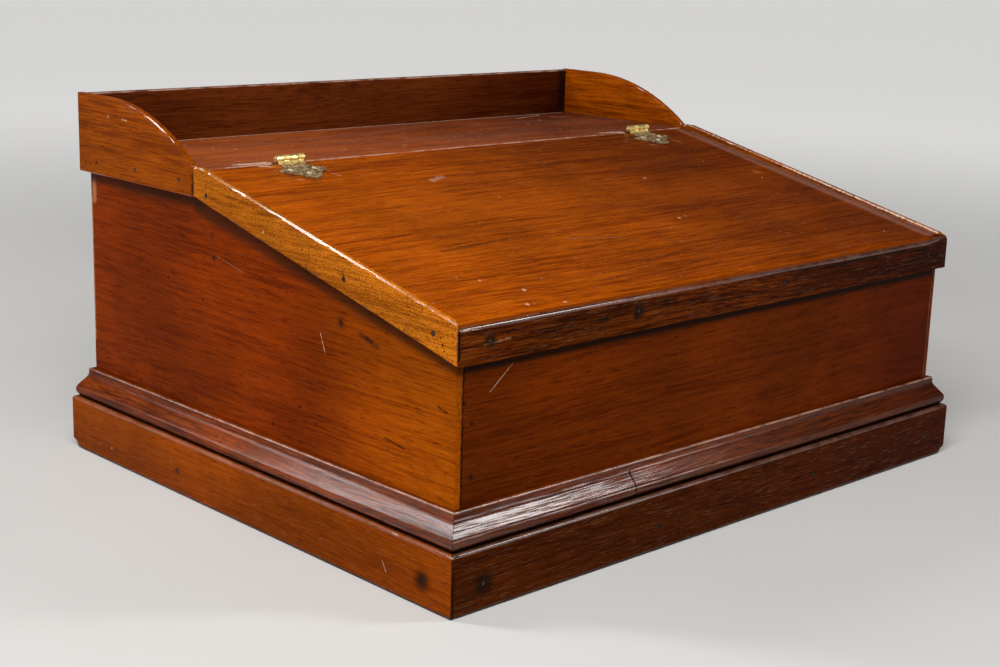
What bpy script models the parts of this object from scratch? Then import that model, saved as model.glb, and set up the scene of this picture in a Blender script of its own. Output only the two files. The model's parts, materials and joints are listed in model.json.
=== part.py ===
"""Slope-lid desk box: mitred plinth and ogee moulding, sloping lid on butterfly hinges, low curved gallery.

Metres, +Z up, +Y towards the back. The origin is on the ground under the middle of the case.
"""
import math

import bmesh
import bpy
from mathutils import Matrix, Vector

# Case boards: the sides are rabbeted for the front and back, and the floor sits in grooves
CASE_WIDTH = 0.580
CASE_DEPTH = 0.474
CASE_HEIGHT = 0.248
WALL = 0.0125
CORNER_LIP = 0.005
WALL_FOOT = 0.001
FLOOR_THICKNESS = 0.0095
FLOOR_HEIGHT = 0.0465
FLOOR_TONGUE = 0.006

# Plinth boards and the ogee moulding that sits on them
PLINTH_HEIGHT = 0.0465
PLINTH_THICKNESS = 0.015
PLINTH_ROUND = 0.002
MOULDING_HEIGHT = 0.0254
MOULDING_PROJECTION = 0.013
FILLET_WIDTH = 0.0044
FILLET_HEIGHT = 0.0045
FILLET_ROUND = 0.0012
COVE_RADIUS = 0.009
COVE_END = 10.0
ROUND_RADIUS = 0.0068
ROUND_UNDERCUT = 60.0
OGEE_TURN = 42.0

# Fixed shelf, sloping lid and the thin strips that edge them both
PANEL_THICKNESS = 0.0195
SHELF_DEPTH = 0.1664
LID_SLOPE = math.radians(12.0)
SEAM_GAP = 0.0012
EDGING = 0.0056
LIP_RISE = 0.0034
FRONT_LIP_RISE = 0.0026
EDGING_DROP = 0.0014
FRONT_EDGING_DROP = 0.0068
LIP_SHOULDER = 0.012
FRONT_STRIP_ROUND = 0.0024
GALLERY_RISE = 0.046
GALLERY_ARC = 0.2135
GALLERY_BACK = 0.007
GALLERY_BACK_STEP = 0.0006

# Butterfly hinges
HINGE_INSET_LEFT = 0.0878
HINGE_INSET_RIGHT = 0.0669
AXIS_RISE = 0.0038
BARREL_LENGTH = 0.028
KNUCKLES = 4
KNUCKLE_RADIUS = 0.0026
PIN_RADIUS = 0.0011
PIN_END = 0.0007
LEAF_THICKNESS = 0.0014
LEAF_PROUD = 0.0005
LEAF_NECK = 0.0254
LEAF_FLARE = 0.0083
LEAF_FLARE_START = 0.0088
LEAF_TIP = 0.0022
LEAF_TIP_FROM = -60.0
LEAF_TIP_TO = 50.0
LEAF_LOBE = 0.0094
LEAF_LOBE_FROM = 12.0
LEAF_REACH = 0.0400
NECK_RADIUS = 0.0054
NECK_MEETS_BARREL = math.radians(45.0)
FIXED_LEAF_DROP = 0.0145

# Screws and nails
SCREW_HEAD = 0.0025
SCREW_HEAD_DEPTH = 0.0012
SCREW_DOME = 0.0007
SCREW_SHANK = 0.0012
SCREW_LENGTH = 0.013
SCREW_TIP = 0.004
SLOT_WIDTH = 0.0006
SLOT_DEPTH = 0.0005
WING_SCREW_X = 0.0120
WING_SCREW_REACH = 0.0190
LOBE_SCREW_REACH = 0.0285
FIXED_SCREW_X = 0.0070
FIXED_SCREW_DROP = 0.0085
NAIL_HEAD = 0.0017
NAIL_HEAD_DEPTH = 0.0008
NAIL_SHANK = 0.0009
NAIL_TIP = 0.0005
NAIL_SINK = 0.0004
NAIL_BITE = 0.008
PLINTH_NAIL_HEIGHT = 0.020
LID_NAIL_HEIGHT = 0.0068

# Nail rows: how far the end nails stand from the ends, and where the nails fall between them
PLINTH_NAIL_INSET = 0.015
LID_FRONT_NAIL_INSET = 0.024
LID_SIDE_NAIL_INSET = 0.019
BRACKET_NAIL_INSET = 0.019
PLINTH_FRONT_ROW = (0.0, 0.33, 0.69, 1.0)
PLINTH_SIDE_ROW = (0.0, 0.69)
LID_FRONT_ROW = (0.0, 0.28, 0.61, 1.0)
LID_SIDE_ROW = (0.0, 0.36, 1.0)
BRACKET_ROW = (0.0, 0.51)

# Clearances and edge softening
GLUE_GAP = 0.0003
LID_CLEARANCE = 0.0004
KNUCKLE_CLEARANCE = 0.0003
KNUCKLE_ROOM = 0.0004
BORE_CLEARANCE = 0.00025
ARRIS = 0.0007
OVERCUT = 0.002
SHARP_ANGLE = math.radians(30.0)
ARC_STEPS = 14
SMALL_ARC_STEPS = 5
EDGE_STEPS = 2
DOME_STEPS = 2
BARREL_SIDES = 20
SCREW_SIDES = 12
NAIL_SIDES = 8

# Finishes: colour, roughness, metallic
CASE_WOOD = ((0.190, 0.052, 0.016), 0.36, 0.0)
BASE_WOOD = ((0.110, 0.030, 0.013), 0.38, 0.0)
LID_WOOD = ((0.235, 0.070, 0.018), 0.32, 0.0)
EDGE_WOOD = ((0.360, 0.140, 0.030), 0.34, 0.0)
GALLERY_WOOD = ((0.220, 0.066, 0.022), 0.35, 0.0)
INNER_WOOD = ((0.300, 0.170, 0.080), 0.65, 0.0)
BRASS = ((0.620, 0.450, 0.170), 0.30, 1.0)
OLD_BRASS = ((0.270, 0.200, 0.110), 0.42, 1.0)
IRON = ((0.045, 0.035, 0.030), 0.60, 1.0)

# Places worked out from the sizes above
HALF_WIDTH = CASE_WIDTH / 2
HALF_DEPTH = CASE_DEPTH / 2
SLOPE = math.tan(LID_SLOPE)
SEAM_Y = HALF_DEPTH - SHELF_DEPTH
SHELF_UNDER = CASE_HEIGHT + GLUE_GAP
SHELF_TOP = SHELF_UNDER + PANEL_THICKNESS
AXIS_Z = SHELF_TOP + AXIS_RISE
EDGE_IN = LID_CLEARANCE
EDGE_OUT = EDGE_IN + EDGING
PANEL_OUT = EDGE_IN - GLUE_GAP
LIP_TOP = SHELF_TOP + LIP_RISE
EDGE_BOTTOM = SHELF_UNDER - EDGING_DROP
GALLERY_TOP = SHELF_TOP + GALLERY_RISE
MOULDING_FOOT = PLINTH_HEIGHT + GLUE_GAP
MITRE_SHIFT = GLUE_GAP / math.sqrt(2)
BORE_RADIUS = PIN_RADIUS + BORE_CLEARANCE
WALL_RADIUS = (KNUCKLE_RADIUS + BORE_RADIUS) / 2
KNUCKLE_LENGTH = (BARREL_LENGTH - (KNUCKLES - 1) * KNUCKLE_CLEARANCE) / KNUCKLES
LEAF_TOP = LEAF_PROUD - AXIS_RISE * math.cos(LID_SLOPE)
LEAF_BOTTOM = LEAF_TOP - LEAF_THICKNESS
SIDES = {"left": -1, "right": 1}
HINGE_X = {"left": HINGE_INSET_LEFT - HALF_WIDTH, "right": HALF_WIDTH - HINGE_INSET_RIGHT}


def lid_top(y):
    """Height of the lid's upper face."""
    return SHELF_TOP - (SEAM_Y - y) * SLOPE


def lid_under(y):
    """Height of the lid's underside."""
    return lid_top(y) - PANEL_THICKNESS / math.cos(LID_SLOPE)


def wall_top(y):
    """Height of the sloping top edges that the lid closes on."""
    return lid_under(y) - GLUE_GAP


def clear_scene():
    for obj in list(bpy.data.objects):
        bpy.data.objects.remove(obj, do_unlink=True)


def finish(name, look):
    """A plain Principled finish for one piece."""
    colour, roughness, metallic = look
    material = bpy.data.materials.new(name)
    material.use_nodes = True
    shader = material.node_tree.nodes["Principled BSDF"]
    shader.inputs["Base Color"].default_value = (*colour, 1.0)
    shader.inputs["Roughness"].default_value = roughness
    shader.inputs["Metallic"].default_value = metallic
    material.diffuse_color = (*colour, 1.0)
    return material


def add_piece(name, bm, look, place=(0, 0, 0), turn=(0, 0, 0), pivot=None):
    """Link a mesh as a named piece, with its own finish, at a place and on a pivot if it moves."""
    bmesh.ops.recalc_face_normals(bm, faces=bm.faces[:])
    mesh = bpy.data.meshes.new(name)
    bm.to_mesh(mesh)
    bm.free()
    piece = bpy.data.objects.new(name, mesh)
    bpy.context.scene.collection.objects.link(piece)
    piece.location = place
    piece.rotation_euler = turn
    if look:
        mesh.materials.append(finish(name, look))
    if pivot:
        piece.parent = pivot
        piece.matrix_parent_inverse = Matrix.Translation(-pivot.location)
    return piece


def add_cutter(name, bm, place=(0, 0, 0), turn=(0, 0, 0)):
    """A shape that is only subtracted from others."""
    cutter = add_piece(name, bm, None, place, turn)
    cutter.hide_render = True
    cutter.display_type = "WIRE"
    return cutter


def combine(piece, other, operation):
    boolean = piece.modifiers.new(other.name, "BOOLEAN")
    boolean.operation = operation
    boolean.solver = "EXACT"
    boolean.object = other


def carve(cutter, *pieces):
    for piece in pieces:
        combine(piece, cutter, "DIFFERENCE")


def soften(piece, width=ARRIS):
    """Take the sharp arrises off a board."""
    bevel = piece.modifiers.new("arris", "BEVEL")
    bevel.width = width
    bevel.segments = 1
    bevel.limit_method = "ANGLE"
    bevel.angle_limit = SHARP_ANGLE


def shade_round(piece):
    """Smooth shading for a round or moulded piece, with its corners kept crisp."""
    piece.data.shade_smooth()
    piece.data.set_sharp_from_angle(angle=SHARP_ANGLE)
    return piece


def nail_row(start, stop, shares):
    """Numbered places along a line, from the first nail to the last."""
    return enumerate([start + (stop - start) * share for share in shares], 1)


def arc(centre, radius, start, stop, steps):
    """Points round an arc, from one angle to another in degrees."""
    points = []
    for i in range(steps + 1):
        angle = math.radians(start + (stop - start) * i / steps)
        points.append((centre[0] + radius * math.cos(angle), centre[1] + radius * math.sin(angle)))
    return points


def skin(bm, first, last):
    """Join two matching loops of points with side faces and close both ends."""
    loop_a = [bm.verts.new(point) for point in first]
    loop_b = [bm.verts.new(point) for point in last]
    for i in range(len(loop_a)):
        j = (i + 1) % len(loop_a)
        bm.faces.new((loop_a[i], loop_a[j], loop_b[j], loop_b[i]))
    bm.faces.new(loop_a)
    bm.faces.new(loop_b)


def block(low, high):
    """A rectangular board between two corners."""
    bm = bmesh.new()
    base = ((low[0], low[1]), (high[0], low[1]), (high[0], high[1]), (low[0], high[1]))
    skin(bm, [(x, y, low[2]) for x, y in base], [(x, y, high[2]) for x, y in base])
    return bm


def slab(outline, x_from, x_to):
    """A board cut to an outline of (y, z) points, between two x positions."""
    bm = bmesh.new()
    skin(bm, [(x_from, y, z) for y, z in outline], [(x_to, y, z) for y, z in outline])
    return bm


def rod(radius, x_from, x_to, sides=BARREL_SIDES):
    """A cylinder along x."""
    return slab(arc((0, 0), radius, 0, 360 - 360 / sides, sides - 1), x_from, x_to)


def turned(profile, sides):
    """A solid turned about z from (radius, z) points that start and end on the axis."""
    bm = bmesh.new()
    rings = []
    for radius, z in profile[1:-1]:
        circle = arc((0, 0), radius, 0, 360 - 360 / sides, sides - 1)
        rings.append([bm.verts.new((x, y, z)) for x, y in circle])
    top = bm.verts.new((0, 0, profile[0][1]))
    tip = bm.verts.new((0, 0, profile[-1][1]))
    for i in range(sides):
        j = (i + 1) % sides
        bm.faces.new((top, rings[0][i], rings[0][j]))
        for upper, lower in zip(rings, rings[1:]):
            bm.faces.new((upper[i], lower[i], lower[j], upper[j]))
        bm.faces.new((tip, rings[-1][j], rings[-1][i]))
    return bm


def mitred_run(profile, half_length, half_offset):
    """A length of board along the front, mitred at both ends: its profile is (projection, z) points."""
    bm = bmesh.new()
    ends = []
    for end in (-1, 1):
        reach = half_length - MITRE_SHIFT
        ends.append([(end * (reach + out), -half_offset - out, z) for out, z in profile])
    skin(bm, *ends)
    return bm


def four_runs(prefix, profile, look):
    """The same mitred board on all four sides of the case."""
    runs = {}
    for quarter, side in enumerate(("front", "right", "back", "left")):
        half_length, half_offset = (HALF_WIDTH, HALF_DEPTH) if quarter % 2 == 0 else (HALF_DEPTH, HALF_WIDTH)
        bm = mitred_run(profile, half_length, half_offset)
        turn = (0, 0, quarter * math.pi / 2)
        runs[side] = shade_round(add_piece(f"{prefix}_{side}", bm, look, turn=turn))
    return runs


def build_case():
    """Front, back, two sides and the floor."""
    walls = {}
    slope_start = SEAM_Y + (CASE_HEIGHT - wall_top(SEAM_Y)) / SLOPE
    outline = [(-HALF_DEPTH, WALL_FOOT), (HALF_DEPTH, WALL_FOOT), (HALF_DEPTH, CASE_HEIGHT)]
    outline += [(slope_start, CASE_HEIGHT), (-HALF_DEPTH, wall_top(-HALF_DEPTH))]
    inner_x = HALF_WIDTH - WALL
    for side, sign in SIDES.items():
        wall = add_piece(f"case_{side}", slab(outline, sign * inner_x, sign * HALF_WIDTH), CASE_WOOD)
        soften(wall)
        for end, where in ((-1, "front"), (1, "back")):
            rabbet_y = end * (HALF_DEPTH - WALL - GLUE_GAP)
            low = (sign * (inner_x - OVERCUT), rabbet_y, -OVERCUT)
            high = (sign * (HALF_WIDTH - CORNER_LIP), end * (HALF_DEPTH + OVERCUT), CASE_HEIGHT + OVERCUT)
            carve(add_cutter(f"rabbet_{side}_{where}", block(low, high)), wall)
        walls[side] = wall
    half_board = HALF_WIDTH - CORNER_LIP - GLUE_GAP
    inner_y = HALF_DEPTH - WALL
    front = [(-HALF_DEPTH, WALL_FOOT), (-inner_y, WALL_FOOT)]
    front += [(-inner_y, wall_top(-inner_y)), (-HALF_DEPTH, wall_top(-HALF_DEPTH))]
    walls["front"] = add_piece("case_front", slab(front, -half_board, half_board), CASE_WOOD)
    low = (-half_board, inner_y, WALL_FOOT)
    high = (half_board, HALF_DEPTH, CASE_HEIGHT)
    walls["back"] = add_piece("case_back", block(low, high), CASE_WOOD)
    soften(walls["front"])
    soften(walls["back"])
    build_floor(walls, inner_x, inner_y)
    return walls


def build_floor(walls, inner_x, inner_y):
    """Floor board, and the groove round the inside of the walls that holds it."""
    groove_x = inner_x + FLOOR_TONGUE
    groove_y = inner_y + FLOOR_TONGUE
    floor_top = FLOOR_HEIGHT + FLOOR_THICKNESS
    low = (-groove_x, -groove_y, FLOOR_HEIGHT - GLUE_GAP)
    groove = block(low, (groove_x, groove_y, floor_top + GLUE_GAP))
    carve(add_cutter("floor_groove", groove), *walls.values())
    edge_x = groove_x - GLUE_GAP
    edge_y = groove_y - GLUE_GAP
    add_piece("case_floor", block((-edge_x, -edge_y, FLOOR_HEIGHT), (edge_x, edge_y, floor_top)), INNER_WOOD)


def plinth_profile():
    inner = GLUE_GAP
    outer = GLUE_GAP + PLINTH_THICKNESS
    round_in = outer - PLINTH_ROUND
    bottom = arc((round_in, PLINTH_ROUND), PLINTH_ROUND, -90, 0, EDGE_STEPS)
    top = arc((round_in, PLINTH_HEIGHT - PLINTH_ROUND), PLINTH_ROUND, 0, 90, EDGE_STEPS)
    return [(inner, 0.0)] + bottom + top + [(inner, PLINTH_HEIGHT)]


def moulding_profile():
    """Ogee: a rounded bottom that swells out, a cove above it and a flat fillet on top."""
    inner = GLUE_GAP
    top = MOULDING_FOOT + MOULDING_HEIGHT
    fillet_foot = top - FILLET_HEIGHT
    swell_z = MOULDING_FOOT + ROUND_RADIUS * math.sin(math.radians(ROUND_UNDERCUT))
    swell = (MOULDING_PROJECTION - ROUND_RADIUS, swell_z)
    belly = arc(swell, ROUND_RADIUS, -ROUND_UNDERCUT, OGEE_TURN, SMALL_ARC_STEPS)
    end = math.radians(COVE_END)
    hollow = (FILLET_WIDTH + COVE_RADIUS * math.cos(end), fillet_foot + COVE_RADIUS * math.sin(end))
    cove = arc(hollow, COVE_RADIUS, 180 + OGEE_TURN, 180 + COVE_END, SMALL_ARC_STEPS)
    corner = (FILLET_WIDTH - FILLET_ROUND, top - FILLET_ROUND)
    fillet = arc(corner, FILLET_ROUND, 0, 90, EDGE_STEPS)
    return [(inner, MOULDING_FOOT)] + belly + cove + fillet + [(inner, top)]


def build_base(walls):
    """Plinth boards nailed to the case, and the moulding on top of them."""
    plinths = four_runs("plinth", plinth_profile(), BASE_WOOD)
    four_runs("moulding", moulding_profile(), BASE_WOOD)
    length = PLINTH_THICKNESS + GLUE_GAP + NAIL_BITE
    outer = GLUE_GAP + PLINTH_THICKNESS - NAIL_SINK
    end_x = HALF_WIDTH - PLINTH_NAIL_INSET
    end_y = HALF_DEPTH - PLINTH_NAIL_INSET
    for i, x in nail_row(-end_x, end_x, PLINTH_FRONT_ROW):
        place = (x, -HALF_DEPTH - outer, PLINTH_NAIL_HEIGHT)
        add_nail(f"plinth_nail_front_{i}", place, "front", length, (plinths["front"], walls["front"]))
    for side, sign in SIDES.items():
        for i, y in nail_row(-end_y, end_y, PLINTH_SIDE_ROW):
            place = (sign * (HALF_WIDTH + outer), y, PLINTH_NAIL_HEIGHT)
            add_nail(f"plinth_nail_{side}_{i}", place, side, length, (plinths[side], walls[side]))


def build_gallery():
    """Fixed shelf with a low back board and two curved brackets on its ends."""
    shelf_front = SEAM_Y + SEAM_GAP / 2
    half = HALF_WIDTH + PANEL_OUT
    low = (-half, shelf_front, SHELF_UNDER)
    high = (half, HALF_DEPTH + PANEL_OUT, SHELF_TOP)
    shelf = add_piece("gallery_shelf", block(low, high), GALLERY_WOOD)
    soften(shelf)
    back_in = HALF_DEPTH + EDGE_IN
    back_out = back_in + GALLERY_BACK
    high = (half, back_out, GALLERY_TOP - GALLERY_BACK_STEP)
    soften(add_piece("gallery_back", block((-half, back_in, EDGE_BOTTOM), high), GALLERY_WOOD))
    drop = GALLERY_TOP - LIP_TOP
    run = math.sqrt(drop * (2 * GALLERY_ARC - drop))
    sweep = math.degrees(math.asin(run / GALLERY_ARC))
    arc_top = (shelf_front + run, GALLERY_TOP - GALLERY_ARC)
    outline = [(back_out, GALLERY_TOP), (back_out, EDGE_BOTTOM), (shelf_front, EDGE_BOTTOM)]
    outline += arc(arc_top, GALLERY_ARC, 90 + sweep, 90, ARC_STEPS)
    nail_z = (SHELF_UNDER + SHELF_TOP) / 2
    nails_from = SEAM_Y + BRACKET_NAIL_INSET
    nails_to = HALF_DEPTH - BRACKET_NAIL_INSET
    for side, sign in SIDES.items():
        board = slab(outline, sign * (HALF_WIDTH + EDGE_IN), sign * (HALF_WIDTH + EDGE_OUT))
        bracket = add_piece(f"gallery_bracket_{side}", board, EDGE_WOOD)
        soften(bracket)
        for i, y in nail_row(nails_from, nails_to, BRACKET_ROW):
            place = (sign * (HALF_WIDTH + EDGE_OUT - NAIL_SINK), y, nail_z)
            add_nail(f"bracket_nail_{side}_{i}", place, side, EDGING + NAIL_BITE, (bracket, shelf))
    return shelf


def strip_outline(y_front):
    """Side view of a lid strip that ends at a given y: level at the seam, then sloping with the lid."""
    back = SEAM_Y - SEAM_GAP / 2
    shoulder = back - LIP_SHOULDER
    far = -HALF_DEPTH - EDGE_OUT
    far_top = lid_top(far) + FRONT_LIP_RISE
    far_bottom = lid_under(far) - FRONT_EDGING_DROP
    share = (shoulder - y_front) / (shoulder - far)
    top = LIP_TOP + (far_top - LIP_TOP) * share
    bottom = EDGE_BOTTOM + (far_bottom - EDGE_BOTTOM) * (back - y_front) / (back - far)
    return [(back, EDGE_BOTTOM), (back, LIP_TOP), (shoulder, LIP_TOP), (y_front, top), (y_front, bottom)]


def front_strip_profile():
    """Section of the lid's front strip: flush with the lid, with a worn round top edge."""
    far = -HALF_DEPTH - EDGE_OUT
    top_in = lid_top(-HALF_DEPTH - EDGE_IN)
    bottom = lid_under(far) - FRONT_EDGING_DROP
    radius = FRONT_STRIP_ROUND
    nose = arc((EDGE_OUT - radius, lid_top(far) - radius), radius, 0, 90, SMALL_ARC_STEPS)
    return [(EDGE_IN, bottom), (EDGE_OUT, bottom)] + nose + [(EDGE_IN, top_in)]


def build_lid(pivot):
    """Panel with a raised strip on each end and a flush strip along the front."""
    back = SEAM_Y - SEAM_GAP / 2
    front = -HALF_DEPTH - PANEL_OUT
    half = HALF_WIDTH + PANEL_OUT
    section = [(back, lid_under(back)), (back, lid_top(back))]
    section += [(front, lid_top(front)), (front, lid_under(front))]
    panel = add_piece("lid_panel", slab(section, -half, half), LID_WOOD, pivot=pivot)
    soften(panel)
    length = EDGING + NAIL_BITE
    for side, sign in SIDES.items():
        bm = bmesh.new()
        faces = []
        for out in (EDGE_IN, EDGE_OUT):
            outline = strip_outline(-HALF_DEPTH - out + MITRE_SHIFT)
            faces.append([(sign * (HALF_WIDTH + out), y, z) for y, z in outline])
        skin(bm, *faces)
        strip = add_piece(f"lid_strip_{side}", bm, EDGE_WOOD, pivot=pivot)
        soften(strip)
        for i, y in nail_row(LID_SIDE_NAIL_INSET - HALF_DEPTH, SEAM_Y - LID_SIDE_NAIL_INSET, LID_SIDE_ROW):
            place = (sign * (HALF_WIDTH + EDGE_OUT - NAIL_SINK), y, lid_under(y) + LID_NAIL_HEIGHT)
            add_nail(f"lid_nail_{side}_{i}", place, side, length, (strip, panel), pivot)
    bm = mitred_run(front_strip_profile(), HALF_WIDTH, HALF_DEPTH)
    strip = shade_round(add_piece("lid_strip_front", bm, BASE_WOOD, pivot=pivot))
    end_x = HALF_WIDTH - LID_FRONT_NAIL_INSET
    for i, x in nail_row(-end_x, end_x, LID_FRONT_ROW):
        place = (x, -HALF_DEPTH - EDGE_OUT + NAIL_SINK, lid_under(front) + LID_NAIL_HEIGHT)
        add_nail(f"lid_nail_front_{i}", place, "front", length, (strip, panel), pivot)
    return panel


def knuckle_span(index):
    """The x range of one knuckle on the hinge barrel."""
    start = -BARREL_LENGTH / 2 + index * (KNUCKLE_LENGTH + KNUCKLE_CLEARANCE)
    return start, start + KNUCKLE_LENGTH


def add_knuckles(leaf, own, place):
    """Give a leaf its own knuckles, room for the other leaf's knuckles and a bore for the pin."""
    for index in range(1 - own, KNUCKLES, 2):
        start, stop = knuckle_span(index)
        room = rod(KNUCKLE_RADIUS + KNUCKLE_ROOM, start - KNUCKLE_ROOM, stop + KNUCKLE_ROOM)
        carve(add_cutter(f"{leaf.name}_room_{index}", room, place), leaf)
    for index in range(own, KNUCKLES, 2):
        knuckle = add_cutter(f"{leaf.name}_knuckle_{index}", rod(KNUCKLE_RADIUS, *knuckle_span(index)), place)
        combine(leaf, shade_round(knuckle), "UNION")
    bore = rod(BORE_RADIUS, -BARREL_LENGTH, BARREL_LENGTH)
    carve(shade_round(add_cutter(f"{leaf.name}_bore", bore, place)), leaf)


def wing_outline(grow, root):
    """Butterfly leaf as (x, distance from the axis): neck, hollow flare, two wing tips and an end lobe."""
    neck = LEAF_NECK / 2
    flare_centre = (neck + LEAF_FLARE, LEAF_FLARE_START)
    tip_centre = (neck + LEAF_FLARE, LEAF_FLARE_START + LEAF_FLARE + LEAF_TIP)
    half = [(neck + grow, root)]
    half += arc(flare_centre, LEAF_FLARE - grow, 180, 90, SMALL_ARC_STEPS)
    half += arc(tip_centre, LEAF_TIP + grow, LEAF_TIP_FROM, LEAF_TIP_TO, SMALL_ARC_STEPS)
    half += arc((0, LEAF_REACH - LEAF_LOBE), LEAF_LOBE + grow, LEAF_LOBE_FROM, 90, SMALL_ARC_STEPS)
    return half + [(-x, reach) for x, reach in reversed(half[:-1])]


def wing_leaf():
    """Flat winged plate with a neck that curls up to the barrel."""
    middle = (LEAF_TOP + LEAF_BOTTOM) / 2
    joint = WALL_RADIUS * math.cos(NECK_MEETS_BARREL)
    sweep = math.acos(1 - (-joint - middle) / NECK_RADIUS)
    root = joint + NECK_RADIUS * math.sin(sweep)
    outline = wing_outline(0.0, root)
    bm = bmesh.new()
    upper = [bm.verts.new((x, -reach, LEAF_TOP)) for x, reach in outline]
    lower = [bm.verts.new((x, -reach, LEAF_BOTTOM)) for x, reach in outline]
    for i in range(len(outline) - 1):
        bm.faces.new((upper[i], upper[i + 1], lower[i + 1], lower[i]))
    bm.faces.new(upper)
    bm.faces.new(lower)
    edge = (upper[-1], lower[-1], lower[0], upper[0])
    centre_z = middle + NECK_RADIUS
    for i in range(1, SMALL_ARC_STEPS + 1):
        angle = sweep * i / SMALL_ARC_STEPS
        ring = []
        for x, side in ((-1, -0.5), (-1, 0.5), (1, 0.5), (1, -0.5)):
            radius = NECK_RADIUS + side * LEAF_THICKNESS
            y = -root + radius * math.sin(angle)
            ring.append(bm.verts.new((x * LEAF_NECK / 2, y, centre_z - radius * math.cos(angle))))
        for a in range(4):
            b = (a + 1) % 4
            bm.faces.new((edge[a], edge[b], ring[b], ring[a]))
        edge = ring
    bm.faces.new(edge)
    return bm


def build_hinge(side, panel, shelf, pivot):
    """Lid leaf let into the lid, fixed leaf let into the shelf's front edge, the pin and five screws."""
    axis = (HINGE_X[side], SEAM_Y, AXIS_Z)
    tilt = (LID_SLOPE, 0, 0)
    name = f"hinge_{side}"
    leaf = add_piece(f"{name}_lid_leaf", wing_leaf(), OLD_BRASS, axis, tilt, pivot)
    add_knuckles(leaf, 1, axis)
    outline = wing_outline(GLUE_GAP, -OVERCUT)
    bm = bmesh.new()
    floor = LEAF_BOTTOM - GLUE_GAP
    skin(bm, [(x, -reach, floor) for x, reach in outline], [(x, -reach, OVERCUT) for x, reach in outline])
    carve(add_cutter(f"{name}_lid_mortise", bm, axis, tilt), panel)
    lean = Matrix.Rotation(LID_SLOPE, 3, "X")
    screws = [(sign * WING_SCREW_X, WING_SCREW_REACH) for sign in SIDES.values()]
    for i, (x, reach) in enumerate(screws + [(0.0, LOBE_SCREW_REACH)], 1):
        place = Vector(axis) + lean @ Vector((x, -reach, LEAF_TOP))
        add_screw(f"{name}_lid_screw_{i}", place, tilt, SCREW_DOME, (leaf, panel), pivot)
    build_fixed_leaf(name, axis, shelf)
    pin_half = BARREL_LENGTH / 2 + PIN_END
    pin = add_piece(f"{name}_pin", rod(PIN_RADIUS, -pin_half, pin_half), BRASS, axis)
    soften(shade_round(pin), PIN_END / 2)


def build_fixed_leaf(name, axis, shelf):
    """Upright plate in the seam with the other knuckles, and its two screws."""
    face = SEAM_GAP / 2
    back = face + LEAF_THICKNESS
    middle = (face + back) / 2
    top = -math.sqrt(max(0.0, WALL_RADIUS ** 2 - middle ** 2))
    bottom = -AXIS_RISE - FIXED_LEAF_DROP
    half = LEAF_NECK / 2
    plate = add_piece(f"{name}_fixed_leaf", block((-half, face, bottom), (half, back, top)), BRASS, axis)
    add_knuckles(plate, 0, axis)
    low = (-half - GLUE_GAP, -OVERCUT, bottom - GLUE_GAP)
    mortise = block(low, (half + GLUE_GAP, back + GLUE_GAP, OVERCUT))
    carve(add_cutter(f"{name}_shelf_mortise", mortise, axis), shelf)
    facing = (math.pi / 2, 0, 0)
    for i, x in enumerate((-FIXED_SCREW_X, FIXED_SCREW_X), 1):
        place = (axis[0] + x, axis[1] + face, SHELF_TOP - FIXED_SCREW_DROP)
        add_screw(f"{name}_fixed_screw_{i}", place, facing, 0.0, (plate, shelf))


def screw_profile(dome, grow, rise):
    """Countersunk screw from its head to its tip, or the hole for it when it is grown and risen."""
    head = SCREW_HEAD + grow
    shank = SCREW_SHANK + grow
    points = [(0.0, dome + rise)]
    if dome:
        for share in (step / DOME_STEPS for step in range(1, DOME_STEPS)):
            points.append((head * share, dome * (1 - share ** 2) + rise))
    if rise:
        points.append((head, rise))
    points += [(head, 0.0), (shank, -SCREW_HEAD_DEPTH), (shank, -SCREW_LENGTH + SCREW_TIP)]
    if grow:
        points.append((shank, -SCREW_LENGTH - grow))
    return points + [(0.0, -SCREW_LENGTH - grow)]


def add_screw(name, place, turn, dome, boards, pivot=None):
    """A slotted screw and its hole through the boards it holds."""
    screw = add_piece(name, turned(screw_profile(dome, 0.0, 0.0), SCREW_SIDES), BRASS, place, turn, pivot)
    slot_end = SCREW_HEAD + OVERCUT
    slot = block((-slot_end, -SLOT_WIDTH / 2, dome - SLOT_DEPTH), (slot_end, SLOT_WIDTH / 2, dome + OVERCUT))
    carve(add_cutter(f"{name}_slot", slot, place, turn), shade_round(screw))
    hole = turned(screw_profile(0.0, GLUE_GAP, OVERCUT), SCREW_SIDES)
    carve(add_cutter(f"{name}_hole", hole, place, turn), *boards)


def nail_profile(length, grow, rise):
    head = NAIL_HEAD + grow
    shank = NAIL_SHANK + grow
    points = [(0.0, rise), (head, rise)]
    points += [(head, -NAIL_HEAD_DEPTH - grow), (shank, -NAIL_HEAD_DEPTH * 2 - grow)]
    return points + [(NAIL_TIP + grow, -length - grow), (0.0, -length - grow)]


def add_nail(name, place, facing, length, boards, pivot=None):
    """A nail driven in just below the surface, and its hole through the boards it joins."""
    quarter = math.pi / 2
    turns = {"front": (quarter, 0, 0), "left": (0, -quarter, 0), "right": (0, quarter, 0)}
    nail = turned(nail_profile(length, 0.0, 0.0), NAIL_SIDES)
    shade_round(add_piece(name, nail, IRON, place, turns[facing], pivot))
    hole = turned(nail_profile(length, GLUE_GAP, OVERCUT), NAIL_SIDES)
    carve(add_cutter(f"{name}_hole", hole, place, turns[facing]), *boards)


def build_desk_box():
    clear_scene()
    pivot = bpy.data.objects.new("lid_pivot", None)
    pivot.location = (0, SEAM_Y, AXIS_Z)
    bpy.context.scene.collection.objects.link(pivot)
    walls = build_case()
    build_base(walls)
    shelf = build_gallery()
    panel = build_lid(pivot)
    for side in SIDES:
        build_hinge(side, panel, shelf, pivot)


build_desk_box()
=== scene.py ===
"""Looks of the slope-lid desk box: worn varnished wood, old brass hinges, a pale floor and soft light."""
import json
import math

import bmesh
import bpy
from mathutils import Matrix, Vector, noise


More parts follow.
